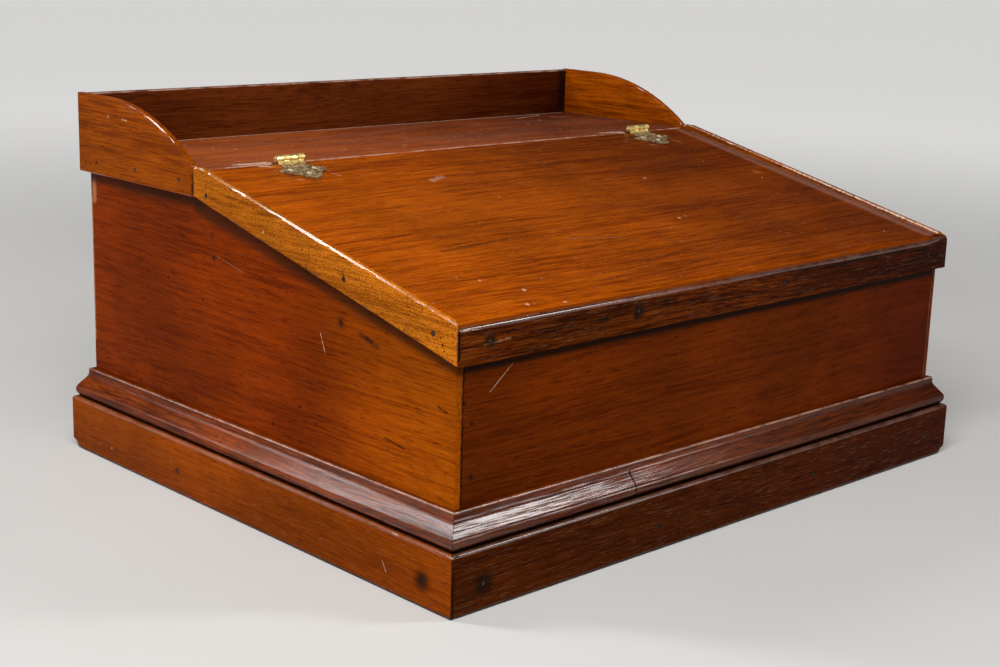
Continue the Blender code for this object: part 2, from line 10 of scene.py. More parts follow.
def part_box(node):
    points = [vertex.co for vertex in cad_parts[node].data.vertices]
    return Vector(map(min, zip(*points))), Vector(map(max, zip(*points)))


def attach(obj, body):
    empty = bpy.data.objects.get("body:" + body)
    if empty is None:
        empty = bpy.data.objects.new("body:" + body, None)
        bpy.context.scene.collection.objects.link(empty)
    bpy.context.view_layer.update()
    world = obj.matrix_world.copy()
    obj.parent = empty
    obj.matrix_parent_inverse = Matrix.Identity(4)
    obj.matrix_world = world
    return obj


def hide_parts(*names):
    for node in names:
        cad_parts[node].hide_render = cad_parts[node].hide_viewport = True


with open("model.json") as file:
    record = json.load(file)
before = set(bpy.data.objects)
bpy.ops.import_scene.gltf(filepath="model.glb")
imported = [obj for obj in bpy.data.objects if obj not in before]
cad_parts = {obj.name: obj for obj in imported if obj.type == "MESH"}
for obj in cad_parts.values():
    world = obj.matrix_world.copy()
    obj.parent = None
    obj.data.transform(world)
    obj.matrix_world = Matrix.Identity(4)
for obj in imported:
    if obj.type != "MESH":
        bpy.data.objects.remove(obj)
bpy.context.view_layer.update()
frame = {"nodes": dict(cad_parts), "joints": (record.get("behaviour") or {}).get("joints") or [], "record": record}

# Which slot and which body each solid belongs to
SLOTS = {part["node"]: part["material_slot"] for part in frame["record"]["subparts"]}
BODY = {node: body for body, nodes in frame["record"]["behaviour"]["bodies"].items() for node in nodes}

# The sides in the order of their quarter turns, and the axes
SIDES = ("front", "right", "back", "left")
X = 0
Y = 1
Z = 2

# Cells that the boards are cut into, and the width under which a face is a softened edge
CELL = 0.012
ARRIS_WIDTH = 0.0017
ARRIS_BEND = math.radians(8.0)
BOARD_SHARP = math.radians(30.0)
ROUND_SHARP = math.radians(50.0)
MM = 0.001

# Limits for corners that are one, faces that are one, faces that look the same way, and lengths that are none
WELD = 1e-6
FLAT_BEND = math.radians(0.3)
SAME_WAY = 0.999
FACING = 0.9
SHORT = 0.1

# Wear of the softened edges: the waves and chips in their width
OCTAVES = (1.0, 2.0, 3)
WAVE_SCALE = 24
WAVE_MEAN = 0.75
WAVE_SHARE = 0.45
CHIP_SCALE = 75
CHIP_FROM = 0.45
CHIP_SIZE = 2.0

# Shares of a radius at which a round is cut, and the round over the lid's right front corner
ROUND_CUTS = (0.0, 0.35, 0.65, 0.86)
CORNER_BLEND = 0.7
EASE_RADIUS = 0.008
EASE_CENTRE = (-0.235, 0.19657)
EASE_ALONG = (0.262, 0.289)
EASE_UP = (0.184, 0.199)

# Ogee moulding: the section repeats the solid's, with more points
BELLY_RADIUS = 0.0068
BELLY_FROM = -60.0
OGEE_TURN = 42.0
COVE_RADIUS = 0.009
COVE_END = 10.0
FILLET_WIDTH = 0.0044
FILLET_HEIGHT = 0.0045
FILLET_ROUND = 0.0012
WALL_GAP = 0.0003
CURVE_STEPS = 10
WAVER_SCALE = 30
WAVER = 0.00022

# Painted shade in the groove under the moulding, and the crack across its front, by points of the section
GROOVE_POINT = 2
SEAM_STRENGTH = 0.95
GROOVE_SHADE = 0.0034
CRACK_POINTS = slice(3, -12, 4)
CRACK_AT = -0.118
CRACK_JAG = 0.0004
CRACK_WIDTH = 0.0014


# Meshes

def solid_copy(node):
    """The node's solid with shared corners and whole flat faces."""
    bm = bmesh.new()
    bm.from_mesh(frame["nodes"][node].data)
    bmesh.ops.remove_doubles(bm, verts=bm.verts[:], dist=WELD)
    bmesh.ops.dissolve_limit(bm, angle_limit=FLAT_BEND, verts=bm.verts[:], edges=bm.edges[:])
    return bm


def mark_faces(bm, bare):
    """Note which faces are softened edges, and which are bare inner faces."""
    bm.normal_update()
    arris = bm.faces.layers.float.new("arris")
    inner = bm.faces.layers.float.new("inner")
    for face in bm.faces:
        longest = max(edge.calc_length() for edge in face.edges)
        sides = [edge for edge in face.edges if edge.calc_length() > longest / 2]
        turned = all(edge.is_convex and edge.calc_face_angle(0.0) > ARRIS_BEND for edge in sides)
        face[arris] = float(turned and 2 * face.calc_area() / face.calc_perimeter() < ARRIS_WIDTH)
        face[inner] = float(bare is not None and face.normal.dot(Vector(bare)) > FACING)
    return arris


def cut(bm, axis, at):
    """Cut all faces of a mesh where they cross a plane."""
    normal = Vector((0, 0, 0))
    normal[axis] = 1
    everything = bm.verts[:] + bm.edges[:] + bm.faces[:]
    bmesh.ops.bisect_plane(bm, geom=everything, dist=WELD, plane_co=normal * at, plane_no=normal)


def cut_cells(bm):
    """Cut a board into short cells, so that its edges can wander."""
    for axis in range(3):
        low = min(vert.co[axis] for vert in bm.verts)
        high = max(vert.co[axis] for vert in bm.verts)
        count = int((high - low) / CELL)
        for i in range(1, count):
            cut(bm, axis, low + (high - low) * i / count)


def wear_arrises(bm, arris, amount, seed):
    """Widen the softened edges by an amount that varies along them, within the flat faces."""
    bm.normal_update()
    moves = []
    for vert in bm.verts:
        flats = [face for face in vert.link_faces if not face[arris]]
        edges = [face for face in vert.link_faces if face[arris]]
        if not flats or not edges:
            continue
        normal = flats[0].normal
        if any(normal.dot(face.normal) < SAME_WAY for face in flats):
            continue
        pull = Vector()
        for face in edges:
            side = face.normal - normal * normal.dot(face.normal)
            if side.length > SHORT:
                pull -= side.normalized()
        if pull.length < SHORT:
            continue
        wave = noise.fractal(vert.co * WAVE_SCALE + Vector((seed, 0, 0)), *OCTAVES)
        chip = max(0.0, noise.noise(vert.co * CHIP_SCALE + Vector((0, seed, 0))) - CHIP_FROM)
        width = max(0.0, WAVE_MEAN + WAVE_SHARE * wave) + CHIP_SIZE * chip
        moves.append((vert, pull.normalized() * amount * width))
    for vert, move in moves:
        vert.co += move


def smooth(value, low, high):
    """Rise smoothly from 0 to 1 between two values."""
    share = min(1.0, max(0.0, (value - low) / (high - low)))
    return share * share * (3 - 2 * share)


def round_off(bm, corner, radius, signs):
    """Wear an outer corner to a radius: signs give the way out along each axis, or 0 to leave it alone."""
    centre = [corner[i] - signs[i] * radius for i in range(3)]
    for axis in range(3):
        for share in ROUND_CUTS:
            if signs[axis]:
                cut(bm, axis, centre[axis] + signs[axis] * radius * share)
    for vert in bm.verts:
        out = Vector([signs[i] * (vert.co[i] - centre[i]) for i in range(3)])
        if all(out[i] > 0 for i in range(3) if signs[i]) and out.length > radius:
            shrink = radius / out.length - 1
            if all(signs):
                shrink *= math.prod(smooth(way, 0.0, radius * CORNER_BLEND) for way in out)
            for i in range(3):
                vert.co[i] += signs[i] * out[i] * shrink


def ease_corner(bm, lift):
    """Bring the front strip's end up to the right strip, and round the two over together."""
    for share in ROUND_CUTS:
        cut(bm, Y, EASE_CENTRE[0] - EASE_RADIUS * share)
        cut(bm, Z, EASE_CENTRE[1] + EASE_RADIUS * share)
        cut(bm, X, EASE_ALONG[0] + (EASE_ALONG[1] - EASE_ALONG[0]) * share)
    for vert in bm.verts:
        share = smooth(vert.co.x, *EASE_ALONG)
        vert.co.z += share * lift * smooth(vert.co.z, *EASE_UP)
        out_y = EASE_CENTRE[0] - vert.co.y
        out_z = vert.co.z - EASE_CENTRE[1]
        far = math.hypot(out_y, out_z)
        if out_y > 0 and out_z > 0 and far > EASE_RADIUS:
            shrink = share * (EASE_RADIUS / far - 1)
            vert.co.y -= out_y * shrink
            vert.co.z += out_z * shrink


def add_piece(node, bm, look, sharp):
    """Link a finished mesh as the piece that stands for a node."""
    name = f"{node}_dressed"
    mesh = bpy.data.meshes.new(name)
    bm.to_mesh(mesh)
    bm.free()
    mesh.shade_smooth()
    mesh.set_sharp_from_angle(angle=sharp)
    mesh.materials.append(look)
    piece = bpy.data.objects.new(name, mesh)
    bpy.context.scene.collection.objects.link(piece)
    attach(piece, BODY[node])
    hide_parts(node)


def dress_board(node, look, wear, seed, bare=None, corners=(), lift=None):
    """A board with worn arrises and rubbed corners."""
    bm = solid_copy(node)
    arris = mark_faces(bm, bare)
    cut_cells(bm)
    wear_arrises(bm, arris, wear, seed)
    if lift is not None:
        ease_corner(bm, lift)
    for corner, radius, signs in corners:
        round_off(bm, corner, radius, signs)
    add_piece(node, bm, look, BOARD_SHARP)


def arc(centre, radius, start, stop):
    """Points round an arc, from one angle to another in degrees."""
    points = []
    for i in range(CURVE_STEPS + 1):
        angle = math.radians(start + (stop - start) * i / CURVE_STEPS)
        points.append((centre[0] + radius * math.cos(angle), centre[1] + radius * math.sin(angle)))
    return points


def moulding_section(foot, top, projection):
    """The ogee's (projection, height) points, from the wall at its foot round to the wall at its top."""
    swell = (projection - BELLY_RADIUS, foot - BELLY_RADIUS * math.sin(math.radians(BELLY_FROM)))
    belly = arc(swell, BELLY_RADIUS, BELLY_FROM, OGEE_TURN)
    end = math.radians(COVE_END)
    hollow_z = top - FILLET_HEIGHT + COVE_RADIUS * math.sin(end)
    hollow = (FILLET_WIDTH + COVE_RADIUS * math.cos(end), hollow_z)
    cove = arc(hollow, COVE_RADIUS, 180 + OGEE_TURN, 180 + COVE_END)
    fillet = arc((FILLET_WIDTH - FILLET_ROUND, top - FILLET_ROUND), FILLET_ROUND, 0, 90)
    return [(WALL_GAP, foot)] + belly + cove + fillet + [(WALL_GAP, top)]


def moulding_run(side, quarter):
    """Half the length of a moulding at the wall, how far out the wall is, and the section."""
    low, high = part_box(f"moulding_{side}")
    reach_axis, out_axis = (X, Y) if quarter % 2 == 0 else (Y, X)
    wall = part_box("case_right")[1].x if out_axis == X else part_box("case_back")[1].y
    projection = max(-low[out_axis], high[out_axis]) - wall
    return high[reach_axis] - projection, wall, moulding_section(low.z, high.z, projection)


def dress_moulding(side, quarter, look):
    """One mitred length of the ogee, hand-planed and so never quite straight."""
    node = f"moulding_{side}"
    reach, wall, section = moulding_run(side, quarter)
    turn = Matrix.Rotation(quarter * math.pi / 2, 3, "Z")
    bm = bmesh.new()
    arris = bm.faces.layers.float.new("arris")
    bm.faces.layers.float.new("inner")
    cells = int(2 * reach / CELL)
    rings = []
    for i in range(cells + 1):
        at = 2 * i / cells - 1
        ring = []
        for out, z in section:
            place = turn @ Vector((at * (reach + out), -wall - out, z))
            waver = noise.fractal(place * WAVER_SCALE, *OCTAVES) * WAVER if out > WALL_GAP else 0.0
            place = turn @ Vector((at * (reach + out - waver), -wall - out + waver, z))
            ring.append(bm.verts.new(place))
        rings.append(ring)
    fillet_from = 2 * CURVE_STEPS + 3
    for ring, following in zip(rings, rings[1:]):
        for i, vert in enumerate(ring):
            j = (i + 1) % len(ring)
            face = bm.faces.new((vert, following[i], following[j], ring[j]))
            face[arris] = float(fillet_from <= i < fillet_from + CURVE_STEPS)
    bm.faces.new(rings[0])
    bm.faces.new(rings[-1])
    bmesh.ops.recalc_face_normals(bm, faces=bm.faces[:])
    add_piece(node, bm, look, ROUND_SHARP)


# Materials

class Look:
    """A Principled material and short ways to wire its nodes."""

    def __init__(self, name):
        self.material = bpy.data.materials.new(name)
        self.material.use_nodes = True
        self.tree = self.material.node_tree
        self.shader = self.tree.nodes["Principled BSDF"]
        self.place = self.node("ShaderNodeTexCoord").outputs["Object"]

    def node(self, kind, inputs=(), **settings):
        made = self.tree.nodes.new(kind)
        for key, value in settings.items():
            setattr(made, key, value)
        for key, value in dict(inputs).items():
            self.wire(made.inputs[key], value)
        return made

    def wire(self, socket, value):
        if isinstance(value, bpy.types.NodeSocket):
            self.tree.links.new(value, socket)
        else:
            socket.default_value = value

    def maths(self, operation, a, b=0.0, clamp=False):
        return self.node("ShaderNodeMath", {0: a, 1: b}, operation=operation, use_clamp=clamp).outputs[0]

    def vector(self, operation, a, b, output="Vector"):
        return self.node("ShaderNodeVectorMath", {0: a, 1: b}, operation=operation).outputs[output]

    def coordinate(self, axis):
        """One of the object coordinates."""
        return self.node("ShaderNodeSeparateXYZ", {0: self.place}).outputs[axis]

    def painted(self, name):
        """A value that is stored on the faces."""
        return self.node("ShaderNodeAttribute", attribute_name=name).outputs["Fac"]

    def pattern(self, place, axis, pattern):
        """Noise drawn out along an axis, by its scale along and across it, its detail and its roughness."""
        length, across, detail, roughness = pattern
        spread = self.vector("MULTIPLY", place, along(axis, length, across))
        inputs = {"Vector": spread, "Scale": 1.0, "Detail": detail, "Roughness": roughness}
        return self.node("ShaderNodeTexNoise", inputs).outputs["Fac"]

    def span(self, value, low, high, to_low=0.0, to_high=1.0):
        """Map a range of values smoothly onto another."""
        inputs = {"Value": value, "From Min": low, "From Max": high, "To Min": to_low, "To Max": to_high}
        made = self.node("ShaderNodeMapRange", inputs, interpolation_type="SMOOTHSTEP", clamp=True)
        return made.outputs["Result"]

    def ramp(self, value, stops):
        """Colours that a value passes through, each with its place."""
        made = self.node("ShaderNodeValToRGB", {"Fac": value})
        band = made.color_ramp
        while len(band.elements) < len(stops):
            band.elements.new(0.5)
        for element, (at, colour) in zip(band.elements, stops):
            element.position = at
            element.color = (*colour, 1.0)
        return made.outputs["Color"]

    def mix(self, share, a, b, blend="MIX"):
        """Lay a share of one colour over another."""
        made = self.node("ShaderNodeMix", data_type="RGBA", blend_type=blend, clamp_factor=True)
        for socket, value in ((0, share), (6, a), (7, b)):
            if isinstance(value, tuple):
                value = (*value, 1.0)
            self.wire(made.inputs[socket], value)
        return made.outputs[2]

    def flecks(self, place, size, share):
        """Small spots in a share of the cells of a pattern."""
        cells = self.node("ShaderNodeTexVoronoi", {"Vector": place, "Scale": 1.0})
        near = self.span(cells.outputs["Distance"], size, size * FLECK_CORE)
        lot = self.node("ShaderNodeSeparateColor", {"Color": cells.outputs["Color"]}).outputs[0]
        return self.maths("MULTIPLY", near, self.maths("LESS_THAN", lot, share))

    def reach(self, start, stop):
        """Distance from a point, or from the line between two points."""
        if start == stop:
            return self.vector("DISTANCE", self.place, start, "Value")
        line = Vector(stop) - Vector(start)
        offset = self.vector("SUBTRACT", self.place, start)
        along_line = self.vector("DOT_PRODUCT", offset, tuple(line / line.length_squared), "Value")
        share = self.maths("ADD", along_line, 0.0, clamp=True)
        foot = self.node("ShaderNodeVectorMath", {0: tuple(line), "Scale": share}, operation="SCALE")
        return self.vector("DISTANCE", offset, foot.outputs["Vector"], "Value")

    def bump(self, height, strength, distance):
        inputs = {"Height": height, "Strength": strength, "Distance": distance}
        return self.node("ShaderNodeBump", inputs).outputs["Normal"]


def along(axis, length, across):
    """Scale for a pattern drawn out along one axis."""
    return tuple(length if i == axis else across for i in range(3))


def times(colour, factor, power=1.0):
    """A colour times a tint, or times a power of it."""
    return tuple(min(1.0, c * f ** power) for c, f in zip(colour, factor))


# Grain: its dark and light lines against the tone between them, and how much each pattern counts
DARK_LINE = (0.40, 0.32, 0.26)
LIGHT_LINE = (1.48, 1.66, 1.90)
GRAIN_LEVELS = (0.42, 0.50, 0.58)
BAND_SHARE = 0.24
STREAK_SHARE = 0.32
FIBRE_SHARE = 0.44
SHIFT = (1.7, 2.3, 3.1)
SWAY = 0.035

# Bare wood, on the faces inside
BARE_WOOD = (0.30, 0.130, 0.048)
BARE_LEVELS = (0.40, 0.50, 0.60)
BARE_LINES = (times(BARE_WOOD, DARK_LINE, 0.6), BARE_WOOD, times(BARE_WOOD, LIGHT_LINE, 0.5))
BARE_ROUGH = 0.3

# Patterns in wood: scale along and across the grain, detail and roughness
WARP = (1.6, 7.0, 2.0, 0.55)
BANDS = (1.7, 30.0, 3.0, 0.5)
STREAKS = (8.0, 250.0, 4.0, 0.6)
FIBRES = (28.0, 900.0, 3.0, 0.6)
CLOUDS = (7.0, 7.0, 4.0, 0.55)
PORES = (90.0, 1100.0, 2.0, 0.5)
TICKS = (55.0, 640.0, 2.0, 0.6)
DASHES = (380.0, 1000.0, 2.0, 0.6)
PAINTED_SHEEN = (9.0, 26.0, 5.0, 0.55)
FIELDS = (14.0, 30.0, 2.0, 0.55)
RAGGED = (330.0, 330.0, 3.0, 0.55)
GROOVES = (32.0, 1050.0, 3.0, 0.6)
PATCHES = (60.0, 60.0, 4.0, 0.55)
SHEEN = (24.0, 24.0, 5.0, 0.55)
GRIT_DETAIL = (2.0, 0.7)
DOT_SCALE = (34.0, 52.0)
DOT_SIZE = 0.085
FLECK_CORE = 0.3

# Levels between which each pattern shows, and for some what they are turned into
CLOUD_SPAN = (0.30, 0.70, 0.74, 1.20)
PORE_SPAN = (0.58, 0.70)
TICK_SPAN = (0.54, 0.66)
DASH_SPAN = (0.50, 0.66)
PAINTED_SHEEN_SPAN = (0.30, 0.72, 0.25, 1.0)
SCUFF_STEP = 0.09
FIELD_SPAN = (0.38, 0.62, 0.1)
GROOVE_SPAN = (0.42, 0.58)
RUB_SPAN = (0.36, 0.60, 0.15, 1.0)
SHEEN_SPAN = (0.30, 0.72)

# What each pattern does to the colour
PORE_TINT = (0.16, 0.14, 0.14)
PORE_SHARE = 0.5
TICK_TINT = (0.26, 0.20, 0.16)
DASH_TINT = (0.30, 0.24, 0.20)
PAINTED_SHEEN_TONE = (0.30, 0.175, 0.135)
DOT_TINT = (0.10, 0.10, 0.12)
DOT_SHARE = 0.75
SCUFF_TONE = (0.60, 0.40, 0.24)
RUB_TINT = (1.9, 2.6, 6.0)

# Frayed edges of marks, and the share of a mark's radius that is whole
CHALK_FRAY = 2.6
STAIN_FRAY = 1.7
FRAY_LIMIT = 1.5 * MM
MARK_CORE = 0.2

# Varnish
VARNISH_TINT = (1.0, 0.65, 0.35, 1.0)
GLOSS = 0.015
COAT_ROUGH = 0.13
GLAZE_ROUGH = 0.19
SMOOTHER = 0.07
DULLER = 0.10
EDGE_POLISH = 0.10
FIBRE_RISE = 0.5
RELIEF_DEPTH = 0.0005


def draw_marks(look, colour, ragged, marks):
    """Stain the wood with its marks, painted shadows among them, and tell how clean it is of soot and painted
    shadow.
    """
    clean = 1.0
    for start, stop, radius, strength, stain in marks:
        fray = CHALK_FRAY * radius if stain == CHALK else STAIN_FRAY * min(radius, FRAY_LIMIT)
        away = look.maths("ADD", look.reach(start, stop), look.maths("MULTIPLY", ragged, fray))
        share = look.span(away, radius, radius * MARK_CORE, 0.0, strength)
        colour = look.mix(share, colour, stain)
        if stain == SOOT_AND_SHADOW:
            clean = look.maths("MULTIPLY", clean, look.maths("SUBTRACT", 1.0, share))
    return colour, clean


def add_coat(look, axis, bent, edge, clean, polish, glaze):
    """Gloss on polished edges, or on a moulding in streaks that pass into an even gloss along it."""
    weight = look.shader.inputs["Coat Weight"]
    look.shader.inputs["Coat Roughness"].default_value = GLAZE_ROUGH if glaze else COAT_ROUGH
    if glaze:
        least, most, start, stop, far = glaze
        run = look.coordinate(axis)
        grooves = look.span(look.pattern(bent, axis, GROOVES), *GROOVE_SPAN, least, most)
        near = look.maths("MULTIPLY", grooves, look.span(run, start, stop, 1.0, 0.0))
        even = look.span(run, start, stop, 0.0, far)
        shine = look.maths("MAXIMUM", look.maths("ADD", near, even), edge)
        look.wire(weight, look.maths("MULTIPLY", shine, clean))
    elif polish:
        look.wire(weight, look.maths("MULTIPLY", edge, polish))


def wood(name, axis, tone, seed, contrast=1.0, rough=0.30, relief=0.2, polish=0.0, glaze=None, ticks=0.0,
         speckle=0.0, dots=0.0, scuffs=None, painted_sheen=0.0, rub=0.2, worn=None, painted_falloff=None, marks=()):
    """Varnished wood with its grain along an axis, the marks that years of use have left on it, and painted light
    and shade: shadows, a sheen and a falloff.
    """
    look = Look(name)
    moved = look.vector("ADD", look.place, tuple(seed * step for step in SHIFT))
    warp = look.maths("MULTIPLY", look.pattern(moved, axis, WARP), SWAY)
    sway = look.node("ShaderNodeCombineXYZ", {i: warp for i in range(3) if i != axis})
    bent = look.vector("ADD", moved, sway.outputs[0])
    bands = look.maths("MULTIPLY", look.pattern(bent, axis, BANDS), BAND_SHARE)
    streaks = look.maths("MULTIPLY", look.pattern(bent, axis, STREAKS), STREAK_SHARE)
    fibres = look.pattern(bent, axis, FIBRES)
    grain = look.maths("ADD", look.maths("ADD", bands, streaks), look.maths("MULTIPLY", fibres, FIBRE_SHARE))
    lines = (times(tone, DARK_LINE, contrast), tone, times(tone, LIGHT_LINE, contrast))
    colour = look.ramp(grain, tuple(zip(GRAIN_LEVELS, lines)))
    # Painted light and shade: the colour turns lighter or darker along one axis, as the light falls off across the
    # board
    if painted_falloff:
        across, start, stop, far = painted_falloff
        falloff_colour = look.mix(1.0, colour, far, "MULTIPLY")
        colour = look.mix(look.span(look.coordinate(across), start, stop), colour, falloff_colour)
    shade = look.span(look.pattern(moved, axis, CLOUDS), *CLOUD_SPAN)
    grey = look.node("ShaderNodeCombineColor", {i: shade for i in range(3)}).outputs[0]
    colour = look.mix(1.0, colour, grey, "MULTIPLY")
    pore = look.span(look.pattern(moved, axis, PORES), *PORE_SPAN)
    colour = look.mix(look.maths("MULTIPLY", pore, PORE_SHARE), colour, times(tone, PORE_TINT))
    if ticks:
        share = look.span(look.pattern(bent, axis, TICKS), *TICK_SPAN, 0.0, ticks)
        colour = look.mix(share, colour, times(tone, TICK_TINT))
    if speckle:
        share = look.span(look.pattern(moved, axis, DASHES), *DASH_SPAN, 0.0, speckle)
        colour = look.mix(share, colour, times(tone, DASH_TINT))
    # A painted sheen: patches of a pale mauve reflection laid into the colour
    if painted_sheen:
        sheen_patches = look.span(look.pattern(moved, axis, PAINTED_SHEEN), *PAINTED_SHEEN_SPAN)
        colour = look.mix(look.maths("MULTIPLY", sheen_patches, painted_sheen), colour, PAINTED_SHEEN_TONE)
    if dots:
        fleck = look.flecks(look.vector("MULTIPLY", moved, along(axis, *DOT_SCALE)), DOT_SIZE, dots)
        colour = look.mix(look.maths("MULTIPLY", fleck, DOT_SHARE), colour, times(tone, DOT_TINT))
    if scuffs:
        amount, length, across, least = scuffs
        grit = look.pattern(moved, axis, (length, across, *GRIT_DETAIL))
        field = look.span(look.pattern(moved, axis, FIELDS), *FIELD_SPAN, amount)
        share = look.maths("MULTIPLY", look.span(grit, least, least + SCUFF_STEP), field)
        colour = look.mix(share, colour, SCUFF_TONE)
    ragged = look.maths("SUBTRACT", look.pattern(moved, axis, RAGGED), 0.5)
    colour, clean = draw_marks(look, colour, ragged, marks)
    edge = look.maths("MULTIPLY", look.painted("arris"), clean)
    add_coat(look, axis, bent, edge, clean, polish, glaze)
    edge = look.maths("MULTIPLY", edge, look.span(look.pattern(moved, axis, PATCHES), *RUB_SPAN))
    colour = look.mix(look.maths("MULTIPLY", edge, rub), colour, worn or times(tone, RUB_TINT))
    inner = look.painted("inner")
    colour = look.mix(inner, colour, look.ramp(grain, tuple(zip(BARE_LEVELS, BARE_LINES))))
    look.wire(look.shader.inputs["Base Color"], colour)
    dullness = look.span(look.pattern(moved, axis, SHEEN), *SHEEN_SPAN, rough - SMOOTHER, rough + DULLER)
    dullness = look.maths("SUBTRACT", dullness, look.maths("MULTIPLY", edge, EDGE_POLISH))
    dullness = look.maths("ADD", dullness, look.maths("MULTIPLY", inner, BARE_ROUGH))
    look.wire(look.shader.inputs["Roughness"], dullness)
    height = look.maths("SUBTRACT", look.maths("MULTIPLY", fibres, FIBRE_RISE), pore)
    look.wire(look.shader.inputs["Normal"], look.bump(height, relief, RELIEF_DEPTH))
    look.shader.inputs["Specular IOR Level"].default_value = GLOSS
    look.shader.inputs["Specular Tint"].default_value = VARNISH_TINT
    return look.material


# Old metal: its patterns, its tarnish, and how it is rubbed bare round the knuckles and dark between them
METAL_PATCHES = (330.0, 330.0, 5.0, 0.65)
METAL_GRAIN = (900.0, 900.0, 3.0, 0.55)
METAL_GRAIN_SHARE = 0.25
TARNISH_STEP = 0.22
TARNISH_ROUGH = 0.22
METAL_RELIEF = 0.25
METAL_DEPTH = 0.0002
RUBBED_FRAY = 0.004
RUBBED_SPAN = (0.0095, 0.0065)
RUBBED_TINT = (0.7, 0.62, 0.4)
KNUCKLE_SEAM = (0.0006, 0.0002)
KNUCKLE_TINT = (0.12, 0.10, 0.06)


def metal(name, bright, dull, rough, tarnish, bare, rubbed=None, joints=()):
    """Old metal: a tarnish in patches over a brighter ground, gone where the metal is rubbed."""
    look = Look(name)
    patches = look.pattern(look.place, X, METAL_PATCHES)
    fine = look.pattern(look.place, X, METAL_GRAIN)
    both = look.maths("ADD", patches, look.maths("MULTIPLY", fine, METAL_GRAIN_SHARE))
    share = look.span(both, tarnish, tarnish + TARNISH_STEP)
    colour = look.mix(share, bright, dull)
    if rubbed:
        start, stop, clean = rubbed
        away = look.maths("ADD", look.reach(start, stop), look.maths("MULTIPLY", patches, RUBBED_FRAY))
        worn = look.span(away, *RUBBED_SPAN)
        colour = look.mix(worn, colour, look.mix(fine, clean, times(clean, RUBBED_TINT)))
        x = look.coordinate(X)
        gap = 1.0
        for joint in joints:
            gap = look.maths("MINIMUM", gap, look.maths("ABSOLUTE", look.maths("SUBTRACT", x, joint)))
        seam = look.maths("MULTIPLY", worn, look.span(gap, *KNUCKLE_SEAM))
        colour = look.mix(seam, colour, times(clean, KNUCKLE_TINT))
    look.wire(look.shader.inputs["Base Color"], colour)
    look.wire(look.shader.inputs["Roughness"], look.span(share, 0.0, 1.0, rough, rough + TARNISH_ROUGH))
    look.wire(look.shader.inputs["Normal"], look.bump(fine, METAL_RELIEF, METAL_DEPTH))
    look.shader.inputs["Metallic"].default_value = bare
    return look.material


# Marks of use and painted light and shade, measured in millimetres, and their colours

# Soot and umber also paint shadow and shade; bloom and glint also paint a reflection, a sheen and highlights
SOOT_AND_SHADOW = (0.010, 0.005, 0.003)
UMBER_AND_SHADE = (0.040, 0.012, 0.004)
CHALK = (0.66, 0.48, 0.34)
RUBBED = (0.42, 0.20, 0.10)
BLOOM_AND_SHEEN = (0.27, 0.135, 0.095)
AMBER = (0.46, 0.17, 0.03)
DUST_AND_GLINT = (0.86, 0.66, 0.52)
RUSSET = (0.21, 0.036, 0.001)

# Faces that the marks lie on, from the middle of the box or from the ground, the seam behind the lid, and how
# the lid falls to the front
CASE_SIDE = 290
CASE_FACE = 237
CORNER_SEAM = 284.8
EDGING_SIDE = 296
STRIP_FACE = 243
PLINTH_SIDE = 305.3
PLINTH_FACE = 252.3
SHELF_TOP = 267.8
LID_SEAM = 70.6
LID_SLOPE = 12
LID_FALL = math.tan(math.radians(LID_SLOPE))


def spot(x, y, z, radius, strength, stain):
    """A round mark."""
    place = (x * MM, y * MM, z * MM)
    return (place, place, radius * MM, strength, stain)


def scratch(start, stop, width, strength, stain):
    """A mark along a line."""
    return (tuple(c * MM for c in start), tuple(c * MM for c in stop), width * MM, strength, stain)


